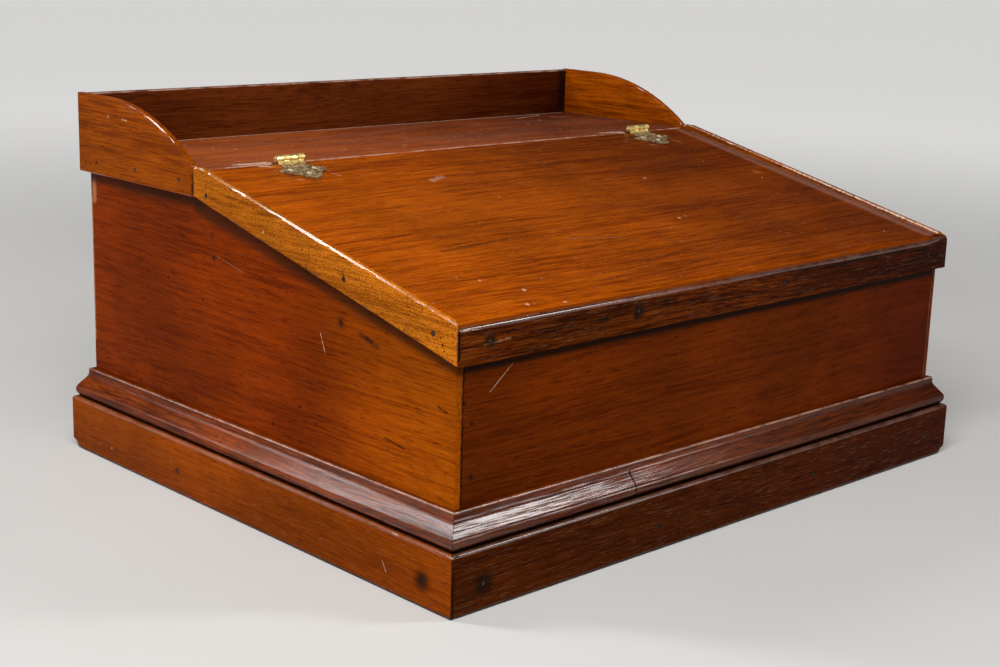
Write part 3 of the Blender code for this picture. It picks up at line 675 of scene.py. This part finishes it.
MARKS = {
    "case_left": [
        spot(-CASE_SIDE, -110.8, 179.4, 3.6, 0.9, SOOT_AND_SHADOW),
        spot(-CASE_SIDE, -110.8, 179.4, 8.0, 0.35, UMBER_AND_SHADE),
        scratch((-CASE_SIDE, -134, 175), (-CASE_SIDE, -152, 170), 4.0, 0.6, UMBER_AND_SHADE),
        scratch((-CASE_SIDE, -139, 174), (-CASE_SIDE, -146, 172), 1.6, 0.8, SOOT_AND_SHADOW),
        spot(-CASE_SIDE, 50.4, 201, 4.5, 0.6, UMBER_AND_SHADE), spot(-CASE_SIDE, 50.4, 201, 2.0, 0.9, SOOT_AND_SHADOW),
        spot(-CASE_SIDE, 52.8, 218.9, 2.6, 0.7, UMBER_AND_SHADE),
        scratch((-CASE_SIDE, -86.5, 167), (-CASE_SIDE, -92, 154), 0.5, 0.65, CHALK),
        scratch((-CASE_SIDE, 45, 203), (-CASE_SIDE, 12, 196), 0.4, 0.5, RUBBED),
        scratch((-CASE_SIDE, -217.8, 141.1), (-CASE_SIDE, -227, 139), 1.0, 0.9, SOOT_AND_SHADOW),
        scratch((-CASE_SIDE, -162, 105.4), (-CASE_SIDE, -183, 102.4), 0.9, 0.85, SOOT_AND_SHADOW),
        spot(-CASE_SIDE, 95, 212, 2.0, 0.6, UMBER_AND_SHADE), spot(-CASE_SIDE, 170, 224, 2.2, 0.6, UMBER_AND_SHADE),
        spot(-CASE_SIDE, 196, 120, 2.0, 0.5, UMBER_AND_SHADE),
        scratch((-CASE_SIDE, 231, 223), (-CASE_SIDE, 231, 240), 5.0, 0.6, RUBBED),
        scratch((-CASE_SIDE, 236, 100), (-CASE_SIDE, 236, 225), 2.8, 0.7, RUBBED),
    ],
    "case_front": [
        scratch((-238.9, -CASE_FACE, 168), (-259.9, -CASE_FACE, 150.8), 0.45, 0.6, CHALK),
        scratch((-287, -CASE_FACE, 147), (-283, -CASE_FACE, 147), 2.0, 0.9, SOOT_AND_SHADOW),
        spot(-275.9, -CASE_FACE, 131, 2.0, 0.85, SOOT_AND_SHADOW), spot(-275.5, -CASE_FACE, 93.1, 2.6, 0.9, SOOT_AND_SHADOW),
        spot(-275.5, -CASE_FACE, 93.1, 6.0, 0.4, UMBER_AND_SHADE),
    ],
    "lid_panel": [
        spot(-220.1, -181.3, 214.2, 1.5, 0.7, CHALK), spot(-199.3, -205.9, 209.0, 2.2, 0.8, CHALK),
        spot(-216.4, -226.1, 204.7, 2.4, 0.8, CHALK), spot(-169.2, -192.6, 211.8, 1.2, 0.5, CHALK),
        spot(-185.3, -232.8, 203.3, 1.8, 0.6, CHALK), spot(111.4, -40.6, 244.2, 2.2, 0.6, CHALK),
        scratch((-106, 3, 253.4), (-90, 9, 254.7), 4.0, 0.25, CHALK),
        scratch((-209, -128, 225.6), (-137, -122, 226.9), 3.5, 0.45, UMBER_AND_SHADE),
        # A pale band along the right strip: dust, and a painted reflection of the strip
        scratch((282, 62, 266.0), (282, -228, 204.3), 10.0, 0.45, BLOOM_AND_SHEEN),
        spot(-218.5, 68.5, 267.4, 2.4, 0.95, SOOT_AND_SHADOW), spot(57.7, -128.4, 225.3, 2.0, 0.7, CHALK),
        spot(68.4, -126.4, 225.7, 1.7, 0.6, CHALK), spot(219, -18.2, 248.7, 1.4, 0.7, CHALK),
        spot(195.5, -14.6, 249.5, 2.6, 0.6, UMBER_AND_SHADE), spot(244.9, -69.7, 237.8, 1.7, 0.5, CHALK),
        spot(242, -210.5, 207.9, 1.4, 0.5, CHALK), spot(-73.1, -44.1, 243.3, 1.6, 0.5, CHALK),
        spot(254.2, -56.2, 240.7, 7.0, 0.3, AMBER),
        scratch((-86, -136, 223.7), (-38, -147, 221.4), 1.2, 0.35, BLOOM_AND_SHEEN),
        spot(206.6, 68.5, 267.4, 2.0, 0.95, SOOT_AND_SHADOW),
        scratch((-234, 67, 267.1), (-226, 65, 266.7), 3.0, 0.5, CHALK),
    ],
    "gallery_shelf": [
        scratch((-246, 80, SHELF_TOP), (-222, 77, SHELF_TOP), 7.0, 0.75, CHALK),
        scratch((182, 80, SHELF_TOP), (204, 77, SHELF_TOP), 6.0, 0.6, CHALK),
        # Pale lines along the back of the shelf: dust, and a painted sheen
        scratch((-285, 236, SHELF_TOP), (60, 236, SHELF_TOP), 5.0, 0.40, BLOOM_AND_SHEEN),
        scratch((-285, 235.5, SHELF_TOP), (282, 235.5, SHELF_TOP), 2.6, 0.5, DUST_AND_GLINT),
        spot(-217.6, 72, 267.4, 2.4, 0.95, SOOT_AND_SHADOW), spot(207.6, 72, 267.4, 2.0, 0.95, SOOT_AND_SHADOW),
        scratch((196, 214, SHELF_TOP), (240, 226, SHELF_TOP), 2.4, 0.45, CHALK),
        scratch((236, 206, SHELF_TOP), (258, 200, SHELF_TOP), 2.0, 0.45, CHALK),
        spot(207, 192, SHELF_TOP, 3.0, 0.6, CHALK), spot(170, 172, SHELF_TOP, 2.4, 0.5, CHALK),
        spot(69, 134, SHELF_TOP, 2.0, 0.7, CHALK), spot(32, 129, SHELF_TOP, 2.2, 0.7, CHALK),
        spot(-47, 107, SHELF_TOP, 2.2, 0.7, CHALK), spot(-193, 161, SHELF_TOP, 2.0, 0.7, CHALK),
    ],
    "gallery_back": [
        # Painted shade in the corner against the right bracket
        scratch((284, 237, 268), (284, 237, 313), 9.0, 0.75, SOOT_AND_SHADOW),
    ],
    "gallery_bracket_left": [
        spot(-EDGING_SIDE, 233.1, 254.4, 1.8, 0.9, SOOT_AND_SHADOW),
        spot(-EDGING_SIDE, 215.7, 257.1, 2.4, 0.9, SOOT_AND_SHADOW), spot(-EDGING_SIDE, 195, 297.4, 1.2, 0.5, CHALK),
        scratch((-EDGING_SIDE, 173, 297.6), (-EDGING_SIDE, 166, 297.2), 0.8, 0.5, CHALK),
    ],
    "lid_strip_front": [
        scratch((-272, -STRIP_FACE, 187), (-248, -STRIP_FACE, 188.5), 1.0, 0.45, RUBBED),
        spot(-119.5, -STRIP_FACE, 187, 5.5, 0.85, SOOT_AND_SHADOW), spot(259.6, -STRIP_FACE, 192, 8.0, 0.85, SOOT_AND_SHADOW),
        scratch((-160, -STRIP_FACE, 188), (-152, -STRIP_FACE, 188), 3.5, 0.7, SOOT_AND_SHADOW),
        scratch((-90, -STRIP_FACE, 193), (-76, -STRIP_FACE, 193), 2.6, 0.6, SOOT_AND_SHADOW),
        scratch((-295.4, -STRIP_FACE, 180), (-295.4, -STRIP_FACE, 206), 2.6, 1.0, SOOT_AND_SHADOW),
        scratch((120, -STRIP_FACE, 196), (230, -STRIP_FACE, 197), 2.2, 0.7, SOOT_AND_SHADOW),
        scratch((-30, -STRIP_FACE, 185), (60, -STRIP_FACE, 184), 1.6, 0.5, SOOT_AND_SHADOW),
    ],
    "lid_strip_left": [
        spot(-EDGING_SIDE, 17.5, 260.4, 2.6, 0.8, UMBER_AND_SHADE),
        spot(-EDGING_SIDE, -23.8, 233.4, 1.2, 0.5, CHALK),
        spot(-EDGING_SIDE, -225.5, 192, 1.3, 0.9, SOOT_AND_SHADOW), spot(-EDGING_SIDE, -228, 187.2, 1.6, 0.9, SOOT_AND_SHADOW),
        spot(-EDGING_SIDE, -229.5, 183.4, 1.3, 0.9, SOOT_AND_SHADOW),
        scratch((-EDGING_SIDE, -STRIP_FACE, 180), (-EDGING_SIDE, -STRIP_FACE, 206), 1.6, 0.9, SOOT_AND_SHADOW),
    ],
    "lid_strip_right": [
        # A painted highlight along the strip's inner top edge, and a pale line at its foot
        scratch((290.7, 58, 271.0), (290.7, -60, 244.6), 1.2, 0.5, DUST_AND_GLINT),
        scratch((290.7, -60, 244.6), (290.7, -235, 205.3), 1.6, 0.95, DUST_AND_GLINT),
        scratch((290.4, 58, 265.2), (290.4, -230, 203.9), 1.0, 0.6, BLOOM_AND_SHEEN),
    ],
    "plinth_left": [
        spot(-PLINTH_SIDE, 186.7, 13.8, 1.6, 0.5, CHALK),
        scratch((-PLINTH_SIDE, -189, 45.4), (-PLINTH_SIDE, -195, 45.4), 1.0, 0.5, CHALK),
        scratch((-PLINTH_SIDE, -179, 22), (-PLINTH_SIDE, -183, 15), 0.6, 0.5, CHALK),
        spot(-PLINTH_SIDE, 83.2, 19.1, 2.0, 0.8, SOOT_AND_SHADOW),
    ],
    "plinth_front": [
        scratch((-303.6, -PLINTH_FACE, 0), (-303.6, -PLINTH_FACE, 34), 1.5, 0.95, SOOT_AND_SHADOW),
        scratch((-300, -PLINTH_FACE, 12), (-283, -PLINTH_FACE, 11), 1.2, 0.7, SOOT_AND_SHADOW),
        scratch((-296, -PLINTH_FACE, 7), (-280, -PLINTH_FACE, 6), 1.0, 0.6, SOOT_AND_SHADOW),
    ],
}


def add_mark(board, mark):
    """Put one more mark on a board."""
    MARKS.setdefault(board, []).append(mark)


# Scuffs in the lid round the wings of the hinges
HINGE_MIDDLES = (-202.2, 223.1)
WING_SCUFFS = (((-21, 34), (-14, 31)), ((20, 40), (23, 33)), ((22, 45), (20, 52)))
for hinge in HINGE_MIDDLES:
    for scuff in WING_SCUFFS:
        ends = [(hinge + x, y, SHELF_TOP - (LID_SEAM - y) * LID_FALL) for x, y in scuff]
        add_mark("lid_panel", scratch(*ends, 1.1, 0.3, CHALK))

# Each nail, apart from those in the lid's right strip, stains the board that it holds, most of them to the
# same radius
NAILED = {
    "plinth_nail_front": "plinth_front", "plinth_nail_left": "plinth_left",
    "plinth_nail_right": "plinth_right", "bracket_nail_left": "gallery_bracket_left",
    "bracket_nail_right": "gallery_bracket_right", "lid_nail_front": "lid_strip_front",
    "lid_nail_left": "lid_strip_left",
}
HALO = {
    "plinth_nail_front_1": 14.0, "plinth_nail_left_1": 12.0, "plinth_nail_right_1": 6.0,
    "lid_nail_front_1": 9.0, "lid_nail_front_2": 9.0, "lid_nail_front_3": 5.0,
    "bracket_nail_left_1": 2.2, "bracket_nail_left_2": 2.2, "lid_nail_left_3": 2.6,
}
USUAL_HALO = 3.2
HALO_STRENGTH = 0.85
for node in SLOTS:
    board = NAILED.get(node.rpartition("_")[0])
    if board:
        low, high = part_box(node)
        middle = (low + high) / 2
        if "front" in node:
            middle.y = low.y
        else:
            middle.x = low.x if "left" in node else high.x
        radius = HALO.get(node, USUAL_HALO) * MM
        add_mark(board, (tuple(middle), tuple(middle), radius, HALO_STRENGTH, SOOT_AND_SHADOW))

# Dirt in the seams of the corners
for x, side in ((-CORNER_SEAM, "left"), (CORNER_SEAM, "right")):
    for y, end in ((-CASE_FACE, "case_front"), (CASE_FACE, "case_back")):
        for board in (f"case_{side}", end):
            add_mark(board, scratch((x, y, 72), (x, y, 246), 1.5, 0.95, SOOT_AND_SHADOW))

# Darker along the foot of the plinth, just inside its faces
FOOT_SIDE = 305
FOOT_FACE = 252
for sign, across, lengthways in ((-1, "front", "left"), (1, "back", "right")):
    ends = [(x, sign * FOOT_FACE, 0) for x in (-FOOT_SIDE, FOOT_SIDE)]
    add_mark(f"plinth_{across}", scratch(*ends, 4.0, 0.8, SOOT_AND_SHADOW))
    ends = [(sign * FOOT_SIDE, y, 0) for y in (-FOOT_FACE, FOOT_FACE)]
    add_mark(f"plinth_{lengthways}", scratch(*ends, 4.0, 0.8, SOOT_AND_SHADOW))

# A redder line along the top of the lid's front strip
add_mark("lid_strip_front", scratch((-CASE_SIDE, -239, 201.8), (CASE_SIDE, -239, 201.8), 2.4, 0.8, RUSSET))

# Painted shadow under the lid's strips and under the gallery, on the case's front and sides
add_mark("case_front", scratch((-CASE_SIDE, -CASE_FACE, 171), (CASE_SIDE, -CASE_FACE, 171), 6.0, 0.9, SOOT_AND_SHADOW))
for x, side in ((-CASE_SIDE, "left"), (CASE_SIDE, "right")):
    for start, stop in (((x, 71, 238), (x, -CASE_FACE, 172)), ((x, 68, 243), (x, CASE_FACE, 243))):
        add_mark(f"case_{side}", scratch(start, stop, 9.0, 0.75, UMBER_AND_SHADE))

# Dirt where the lid's strips meet the brackets
for x, side in ((-EDGING_SIDE, "left"), (EDGING_SIDE, "right")):
    for board in (f"gallery_bracket_{side}", f"lid_strip_{side}"):
        add_mark(board, scratch((x, LID_SEAM, 236), (x, LID_SEAM, 264), 2.2, 0.95, SOOT_AND_SHADOW))

# A crack across the front moulding, down its section
crack = []
front_wall, front_section = moulding_run("front", 0)[1:]
for i, (out, z) in enumerate(front_section[CRACK_POINTS]):
    crack.append((CRACK_AT + CRACK_JAG * (-1) ** i, -front_wall - out, z))
MARKS["moulding_front"] = [(*ends, CRACK_WIDTH, SEAM_STRENGTH, SOOT_AND_SHADOW) for ends in zip(crack, crack[1:])]

# Painted shade in the groove between each moulding and its plinth
for quarter, side in enumerate(SIDES):
    half, wall, section = moulding_run(side, quarter)
    turn = Matrix.Rotation(quarter * math.pi / 2, 3, "Z")
    out, foot = section[GROOVE_POINT]
    ends = [tuple(turn @ Vector((sign * (half + out), -wall - out, foot))) for sign in (-1, 1)]
    for board in (f"moulding_{side}", f"plinth_{side}"):
        add_mark(board, (*ends, GROOVE_SHADE, SEAM_STRENGTH, SOOT_AND_SHADOW))

# Tones of the boards: those facing front and back (FRONT, NIGHT) are darker than those facing the sides (SIDE,
# BASE), partly painted shade for light that falls from the left
SIDE = (0.181, 0.0225, 0.0003)
FRONT = (0.118, 0.0172, 0.0003)
LID = (0.320, 0.058, 0.0010)
HONEY = (0.262, 0.050, 0.0008)
STRIP = (0.430, 0.112, 0.0040)
NIGHT = (0.067, 0.0118, 0.0010)
BASE = (0.238, 0.043, 0.0012)
SHELF = (0.365, 0.070, 0.0080)
GALLERY = (0.092, 0.0172, 0.0028)
DUSTY = (0.46, 0.26, 0.19)

# Scuffs: how strong, their scale along and across the grain, and the level from which they show
GRIT = (0.22, 330.0, 240.0, 0.65)
DUST = (0.90, 330.0, 240.0, 0.64)
SCORES = (0.13, 60.0, 1700.0, 0.60)
FINE_SCORES = (0.15, 60.0, 1500.0, 0.61)

# How each board is finished: a painted falloff of light has its axis, where it starts and stops, and the tint at
# its far end
BOARDS = {
    "case_front": dict(axis=X, tone=FRONT, contrast=0.5, ticks=0.3, dots=0.16,
                       painted_falloff=(X, 0.0, 0.3, (0.60, 0.42, 0.35))),
    "case_back": dict(axis=X, tone=FRONT, contrast=0.7, ticks=0.3, dots=0.10),
    "case_left": dict(axis=Y, tone=SIDE, contrast=0.5, ticks=0.08, dots=0.20,
                      painted_falloff=(Y, -0.04, -0.26, (1.80, 2.9, 3.0))),
    "case_right": dict(axis=Y, tone=SIDE, contrast=0.6, ticks=0.3, dots=0.14),
    "case_floor": dict(axis=X, tone=BARE_WOOD, contrast=0.5, rough=0.6),
    "gallery_shelf": dict(axis=X, tone=SHELF, contrast=0.7, polish=0.5, ticks=0.3, painted_sheen=0.16, scuffs=DUST,
                          rub=0.9, worn=DUSTY, painted_falloff=(X, -0.24, 0.25, (0.41, 0.32, 0.22))),
    "gallery_back": dict(axis=X, tone=GALLERY, contrast=0.6, polish=1.0, ticks=0.35, rub=0.8, worn=DUSTY,
                         painted_falloff=(X, 0.0, 0.28, (0.66, 0.56, 0.5))),
    "gallery_bracket_left": dict(axis=Y, tone=times(HONEY, (0.86, 0.86, 0.9)), contrast=0.6, polish=1.0,
                                 dots=0.06, rub=0.15),
    "gallery_bracket_right": dict(axis=Y, tone=times(HONEY, (1.26, 1.26, 1.2)), contrast=0.7, polish=1.0,
                                  dots=0.06, rub=0.15),
    "lid_panel": dict(axis=X, tone=LID, contrast=0.7, ticks=0.32, scuffs=GRIT,
                      painted_falloff=(X, -0.27, 0.26, (0.49, 0.43, 0.38))),
    "lid_strip_left": dict(axis=Y, tone=times(STRIP, (0.88, 0.89, 1.0)), contrast=0.6, polish=1.0,
                           speckle=0.8, rub=0.15, painted_falloff=(Y, 0.05, -0.24, (1.26, 1.32, 1.6))),
    # Its rubbed edges are wear and also a painted highlight along the top
    "lid_strip_right": dict(axis=Y, tone=times(HONEY, (0.86, 0.86, 1.2)), contrast=0.7, polish=1.0,
                            speckle=0.3, rub=0.3),
    "lid_strip_front": dict(axis=X, tone=times(NIGHT, (1.35, 1.3, 0.8)), contrast=1.3, polish=1.0, ticks=0.7,
                            scuffs=SCORES, rub=0.12, worn=DUSTY, painted_falloff=(X, -0.1, 0.3, (0.34, 0.20, 0.12))),
    "plinth_front": dict(axis=X, tone=NIGHT, contrast=0.7, polish=0.8, ticks=0.4, dots=0.12, scuffs=SCORES,
                         rub=0.15, worn=DUSTY, painted_falloff=(X, -0.2, 0.3, (0.58, 0.43, 0.3))),
    "plinth_back": dict(axis=X, tone=NIGHT, contrast=0.7, ticks=0.3, dots=0.10),
    "plinth_left": dict(axis=Y, tone=BASE, contrast=0.35, polish=0.8, ticks=0.1, dots=0.12,
                        scuffs=FINE_SCORES, rub=0.15, worn=DUSTY),
    "plinth_right": dict(axis=Y, tone=BASE, contrast=0.6, ticks=0.2, dots=0.12),
}

# Mouldings that run across and along the box: their tone, the least and most of the gloss in their streaks,
# where along the run the streaks pass into an even gloss, and how strong that is
# The mouldings across the front and back take a darker tone than those along the sides: partly painted shade, as
# for the boards
OGEE = (times(NIGHT, (1.5, 1.4, 0.6)), (0.165, 0.025, 0.0006))
GLAZE = ((0.1, 1.0, -0.14, 0.06, 0.40), (0.6, 1.0, -0.18, 0.02, 0.26))
# Painted falloff of light on the front moulding, darker towards its right end
OGEE_PAINTED_FALLOFF = {"front": (X, 0.05, 0.30, (0.45, 0.36, 0.3))}

# The way that bare inner faces look
BARE = {
    "case_front": (0, 1, 0), "case_back": (0, -1, 0), "case_left": (1, 0, 0), "case_right": (-1, 0, 0),
    "lid_panel": (0, 0.2, -0.98), "gallery_shelf": (0, 0, -1),
}

# How far the softened edges are worn
USUAL_WEAR = 0.0006
WEAR = {
    "lid_strip_left": 0.0008, "lid_strip_right": 0.0008, "lid_strip_front": 0.0008,
    "gallery_bracket_left": 0.00015, "gallery_bracket_right": 0.0002,
}

# Corners that are worn round: where, to what radius, and the way out along each axis
foot_low, foot_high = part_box("plinth_front")[0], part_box("plinth_back")[1]
FEET = (
    (Vector((foot_low.x, foot_high.y, 0)), 0.008, (-1, 1, -1)),
    (Vector((foot_high.x, foot_low.y, 0)), 0.007, (1, -1, -1)),
    (Vector((foot_high.x, foot_high.y, 0)), 0.006, (1, 1, -1)),
    (Vector((foot_low.x, foot_low.y, 0)), 0.002, (-1, -1, -1)),
)
strip_low, strip_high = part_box("lid_strip_front")
LID_CORNER = (Vector((strip_high.x, strip_low.y, 0)), 0.002, (1, -1, 0))
CORNERS = {f"plinth_{side}": FEET for side in SIDES}
CORNERS["lid_strip_front"] = (LID_CORNER,)
CORNERS["lid_strip_right"] = (LID_CORNER,)
LIFTS = {"lid_strip_front": 0.0026, "lid_strip_right": 0.0}

# Seeds of the grain: a step from each piece to the next, and a start
BOARD_SEED = (0.37, 0.11)
OGEE_SEED = (0.53, 0.29)

for index, (node, finish) in enumerate(BOARDS.items()):
    seed = BOARD_SEED[0] * index + BOARD_SEED[1]
    look = wood(f"wood_{node}", seed=seed, marks=MARKS.get(node, ()), **finish)
    wear = WEAR.get(node, USUAL_WEAR)
    dress_board(node, look, wear, float(index), BARE.get(node), CORNERS.get(node, ()), LIFTS.get(node))

for quarter, side in enumerate(SIDES):
    node = f"moulding_{side}"
    axis = X if quarter % 2 == 0 else Y
    seed = OGEE_SEED[0] * quarter + OGEE_SEED[1]
    look = wood(f"wood_{node}", axis, OGEE[axis], seed, glaze=GLAZE[axis], relief=0.5, ticks=0.6, rub=0.6,
                worn=DUSTY, painted_falloff=OGEE_PAINTED_FALLOFF.get(side), marks=MARKS.get(node, ()))
    dress_moulding(side, quarter, look)

# Hinges, screws and nails: the leaves are rubbed to the barrels' brass along the hinge's axis
BARREL_BRASS = (0.86, 0.67, 0.26)
BARREL_PARTS = 4
AXIS_REACH = 0.3
axis_y, axis_z = frame["joints"][0]["pos_m"][1:]
KNUCKLES = ((-AXIS_REACH, axis_y, axis_z), (AXIS_REACH, axis_y, axis_z), BARREL_BRASS)
JOINTS = []
for side in ("left", "right"):
    low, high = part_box(f"hinge_{side}_pin")
    JOINTS += [low.x + (high.x - low.x) * i / BARREL_PARTS for i in range(1, BARREL_PARTS)]
METALS = {
    "leaf_brass": metal("brass_leaf", (0.68, 0.46, 0.22), (0.11, 0.064, 0.028),
                        rough=0.32, tarnish=0.50, bare=0.5, rubbed=KNUCKLES, joints=JOINTS),
    "barrel_brass": metal("brass_barrel", BARREL_BRASS, (0.62, 0.44, 0.13),
                          rough=0.22, tarnish=0.70, bare=0.75),
    "screw_brass": metal("brass_screw", (0.95, 0.84, 0.60), (0.55, 0.44, 0.25),
                         rough=0.30, tarnish=0.70, bare=0.5),
    "nail_iron": metal("iron", (0.060, 0.046, 0.036), (0.014, 0.010, 0.008),
                       rough=0.6, tarnish=0.45, bare=0.5),
}
for node, slot in SLOTS.items():
    if slot in METALS:
        add_piece(node, solid_copy(node), METALS[slot], ROUND_SHARP)


# Floor, light and camera

FLOOR_SIZE = 14.0
FLOOR_CLOUDS = (3.0, 3.0, 4.0, 0.55)
FLOOR_NEAR = ((0.3, (0.60, 0.59, 0.57)), (0.7, (0.63, 0.62, 0.60)))
FLOOR_FAR = (0.88, 0.87, 0.85)
FLOOR_SPAN = (0.5, 2.4)
FLOOR_ROUGH = 0.85
FLOOR_GLOSS = 0.1
GLOW_SPAN = (0.7, 3.0, 0.0, 0.38)
GLOW_COLOUR = (1.0, 0.99, 0.97, 1.0)

# The floor is darker in front of the two low lamps, so that their light doesn't lie there in pools. Each pool
# has the lamp's foot, the way it faces, where its light starts and is full, and a middle, radius and strength
POOLS = (
    ((1.05, -1.50, 0.0), (-0.677, 0.736, 0.0), (-0.12, 0.10), 0.20, 0.95, 0.85),
    ((-1.30, 1.32, 0.0), (0.576, -0.818, 0.0), (-0.30, 0.14), 0.35, 1.00, 0.60),
)
POOL_TONE = (0.22, 0.216, 0.21)
POOL_CORE = 0.2

# Softboxes: name, place, what they face, width and height, and power
SOFTBOXES = (
    ("key", (-0.80, -0.55, 1.05), (-0.1, -0.05, 0.15), (0.55, 0.55), 8.6),
    ("back", (-1.06, 0.97, 1.32), (-0.28, -0.15, 0.15), (0.27, 0.62), 10.5),
    ("right", (0.98, -1.16, 1.23), (-0.28, -0.25, 0.15), (0.27, 0.62), 10.5),
    ("low", (-1.30, 1.32, 0.68), (-0.30, -0.1, 0.06), (0.35, 0.75), 6.5),
    ("sheen", (1.05, -1.50, 0.36), (-0.1, -0.25, 0.06), (0.50, 0.32), 4.0),
)

# Far soft lights: name, the way to them, strength and spread in degrees
SUNS = (
    ("left", (-0.60, -0.25, 0.76), 0.17, 25.0),
    ("front", (-0.10, -0.50, 0.86), 0.13, 25.0),
)

# Glow of the studio by height, and the paleness that the camera sees beyond the floor
SKY_GLOW = {"From Min": 0.02, "From Max": 0.30, "To Min": 0.34, "To Max": 0.07}
SKY_SEEN = 0.645

CAMERA_PLACE = (-1.01504, -1.03304, 0.45755)
CAMERA_RIGHT = (0.72655415, -0.68647962, 0.02940733)
CAMERA_BACK = (-0.67254, -0.70173, 0.23509)
LENS = 59.99
SENSOR = 36.0


def add_floor():
    """A pale floor that looks paler still far from the box."""
    bm = bmesh.new()
    bmesh.ops.create_grid(bm, x_segments=1, y_segments=1, size=FLOOR_SIZE)
    mesh = bpy.data.meshes.new("floor")
    bm.to_mesh(mesh)
    bm.free()
    look = Look("floor")
    near = look.ramp(look.pattern(look.place, X, FLOOR_CLOUDS), FLOOR_NEAR)
    away = look.vector("DISTANCE", look.place, (0, 0, 0), "Value")
    colour = look.mix(look.span(away, *FLOOR_SPAN), near, FLOOR_FAR)
    rays = look.node("ShaderNodeLightPath").outputs
    seen = look.maths("MAXIMUM", rays["Is Glossy Ray"], rays["Is Transmission Ray"])
    seen = look.maths("MAXIMUM", rays["Is Camera Ray"], seen)
    glow = look.maths("MULTIPLY", seen, look.span(away, *GLOW_SPAN))
    for foot, way, start, middle, radius, strength in POOLS:
        place = tuple(Vector(foot) + Vector(way) * middle)
        front = look.vector("DOT_PRODUCT", look.vector("SUBTRACT", look.place, foot), way, "Value")
        pool = look.span(look.reach(place, place), radius, radius * POOL_CORE, 0.0, strength)
        pool = look.maths("MULTIPLY", pool, look.span(front, *start))
        colour = look.mix(pool, colour, POOL_TONE)
        glow = look.maths("MULTIPLY", glow, look.maths("SUBTRACT", 1.0, pool))
    look.wire(look.shader.inputs["Base Color"], colour)
    look.shader.inputs["Roughness"].default_value = FLOOR_ROUGH
    look.shader.inputs["Specular IOR Level"].default_value = FLOOR_GLOSS
    look.shader.inputs["Emission Color"].default_value = GLOW_COLOUR
    look.wire(look.shader.inputs["Emission Strength"], glow)
    mesh.materials.append(look.material)
    floor = bpy.data.objects.new("floor", mesh)
    bpy.context.scene.collection.objects.link(floor)


def add_lamp(name, kind, place, target, power):
    """A lamp that the camera doesn't see."""
    lamp = bpy.data.lights.new(name, kind)
    lamp.energy = power
    stand = bpy.data.objects.new(name, lamp)
    stand.location = place
    stand.rotation_euler = (Vector(target) - Vector(place)).to_track_quat("-Z", "Y").to_euler()
    stand.visible_camera = False
    bpy.context.scene.collection.objects.link(stand)
    return lamp


def add_softbox(name, place, target, size, power):
    """A flat lamp with a width and a height."""
    lamp = add_lamp(name, "AREA", place, target, power)
    lamp.shape = "RECTANGLE"
    lamp.size, lamp.size_y = size


def add_sun(name, toward, strength, spread):
    """A far soft light: strength 1 shows a colour that faces it as it is written."""
    add_lamp(name, "SUN", toward, (0, 0, 0), strength * math.pi).angle = math.radians(spread)


def add_sky():
    """A dim studio that glows near the horizon, and looks as pale as the floor without giving that light."""
    world = bpy.data.worlds.new("studio")
    world.use_nodes = True
    tree = world.node_tree
    height = tree.nodes.new("ShaderNodeSeparateXYZ")
    tree.links.new(tree.nodes.new("ShaderNodeTexCoord").outputs["Generated"], height.inputs[0])
    glow = tree.nodes.new("ShaderNodeMapRange")
    glow.interpolation_type = "SMOOTHSTEP"
    for socket, value in SKY_GLOW.items():
        glow.inputs[socket].default_value = value
    tree.links.new(height.outputs["Z"], glow.inputs["Value"])
    pale = tree.nodes.new("ShaderNodeMath")
    pale.operation = "MULTIPLY"
    pale.inputs[1].default_value = SKY_SEEN
    tree.links.new(tree.nodes.new("ShaderNodeLightPath").outputs["Is Camera Ray"], pale.inputs[0])
    shown = tree.nodes.new("ShaderNodeMath")
    shown.operation = "MAXIMUM"
    tree.links.new(glow.outputs["Result"], shown.inputs[0])
    tree.links.new(pale.outputs[0], shown.inputs[1])
    tree.links.new(shown.outputs[0], tree.nodes["Background"].inputs["Color"])
    bpy.context.scene.world = world


def add_camera():
    """The camera at the photograph's angle."""
    right, back = Vector(CAMERA_RIGHT), Vector(CAMERA_BACK)
    turn = Matrix((right, back.cross(right), back)).transposed().to_4x4()
    lens = bpy.data.cameras.new("camera")
    lens.lens = LENS
    lens.sensor_width = SENSOR
    lens.sensor_fit = "HORIZONTAL"
    camera = bpy.data.objects.new("camera", lens)
    camera.matrix_world = Matrix.Translation(CAMERA_PLACE) @ turn
    bpy.context.scene.collection.objects.link(camera)
    bpy.context.scene.camera = camera


add_floor()
for softbox in SOFTBOXES:
    add_softbox(*softbox)
for sun in SUNS:
    add_sun(*sun)
add_sky()
bpy.context.scene.view_settings.view_transform = "Standard"
add_camera()
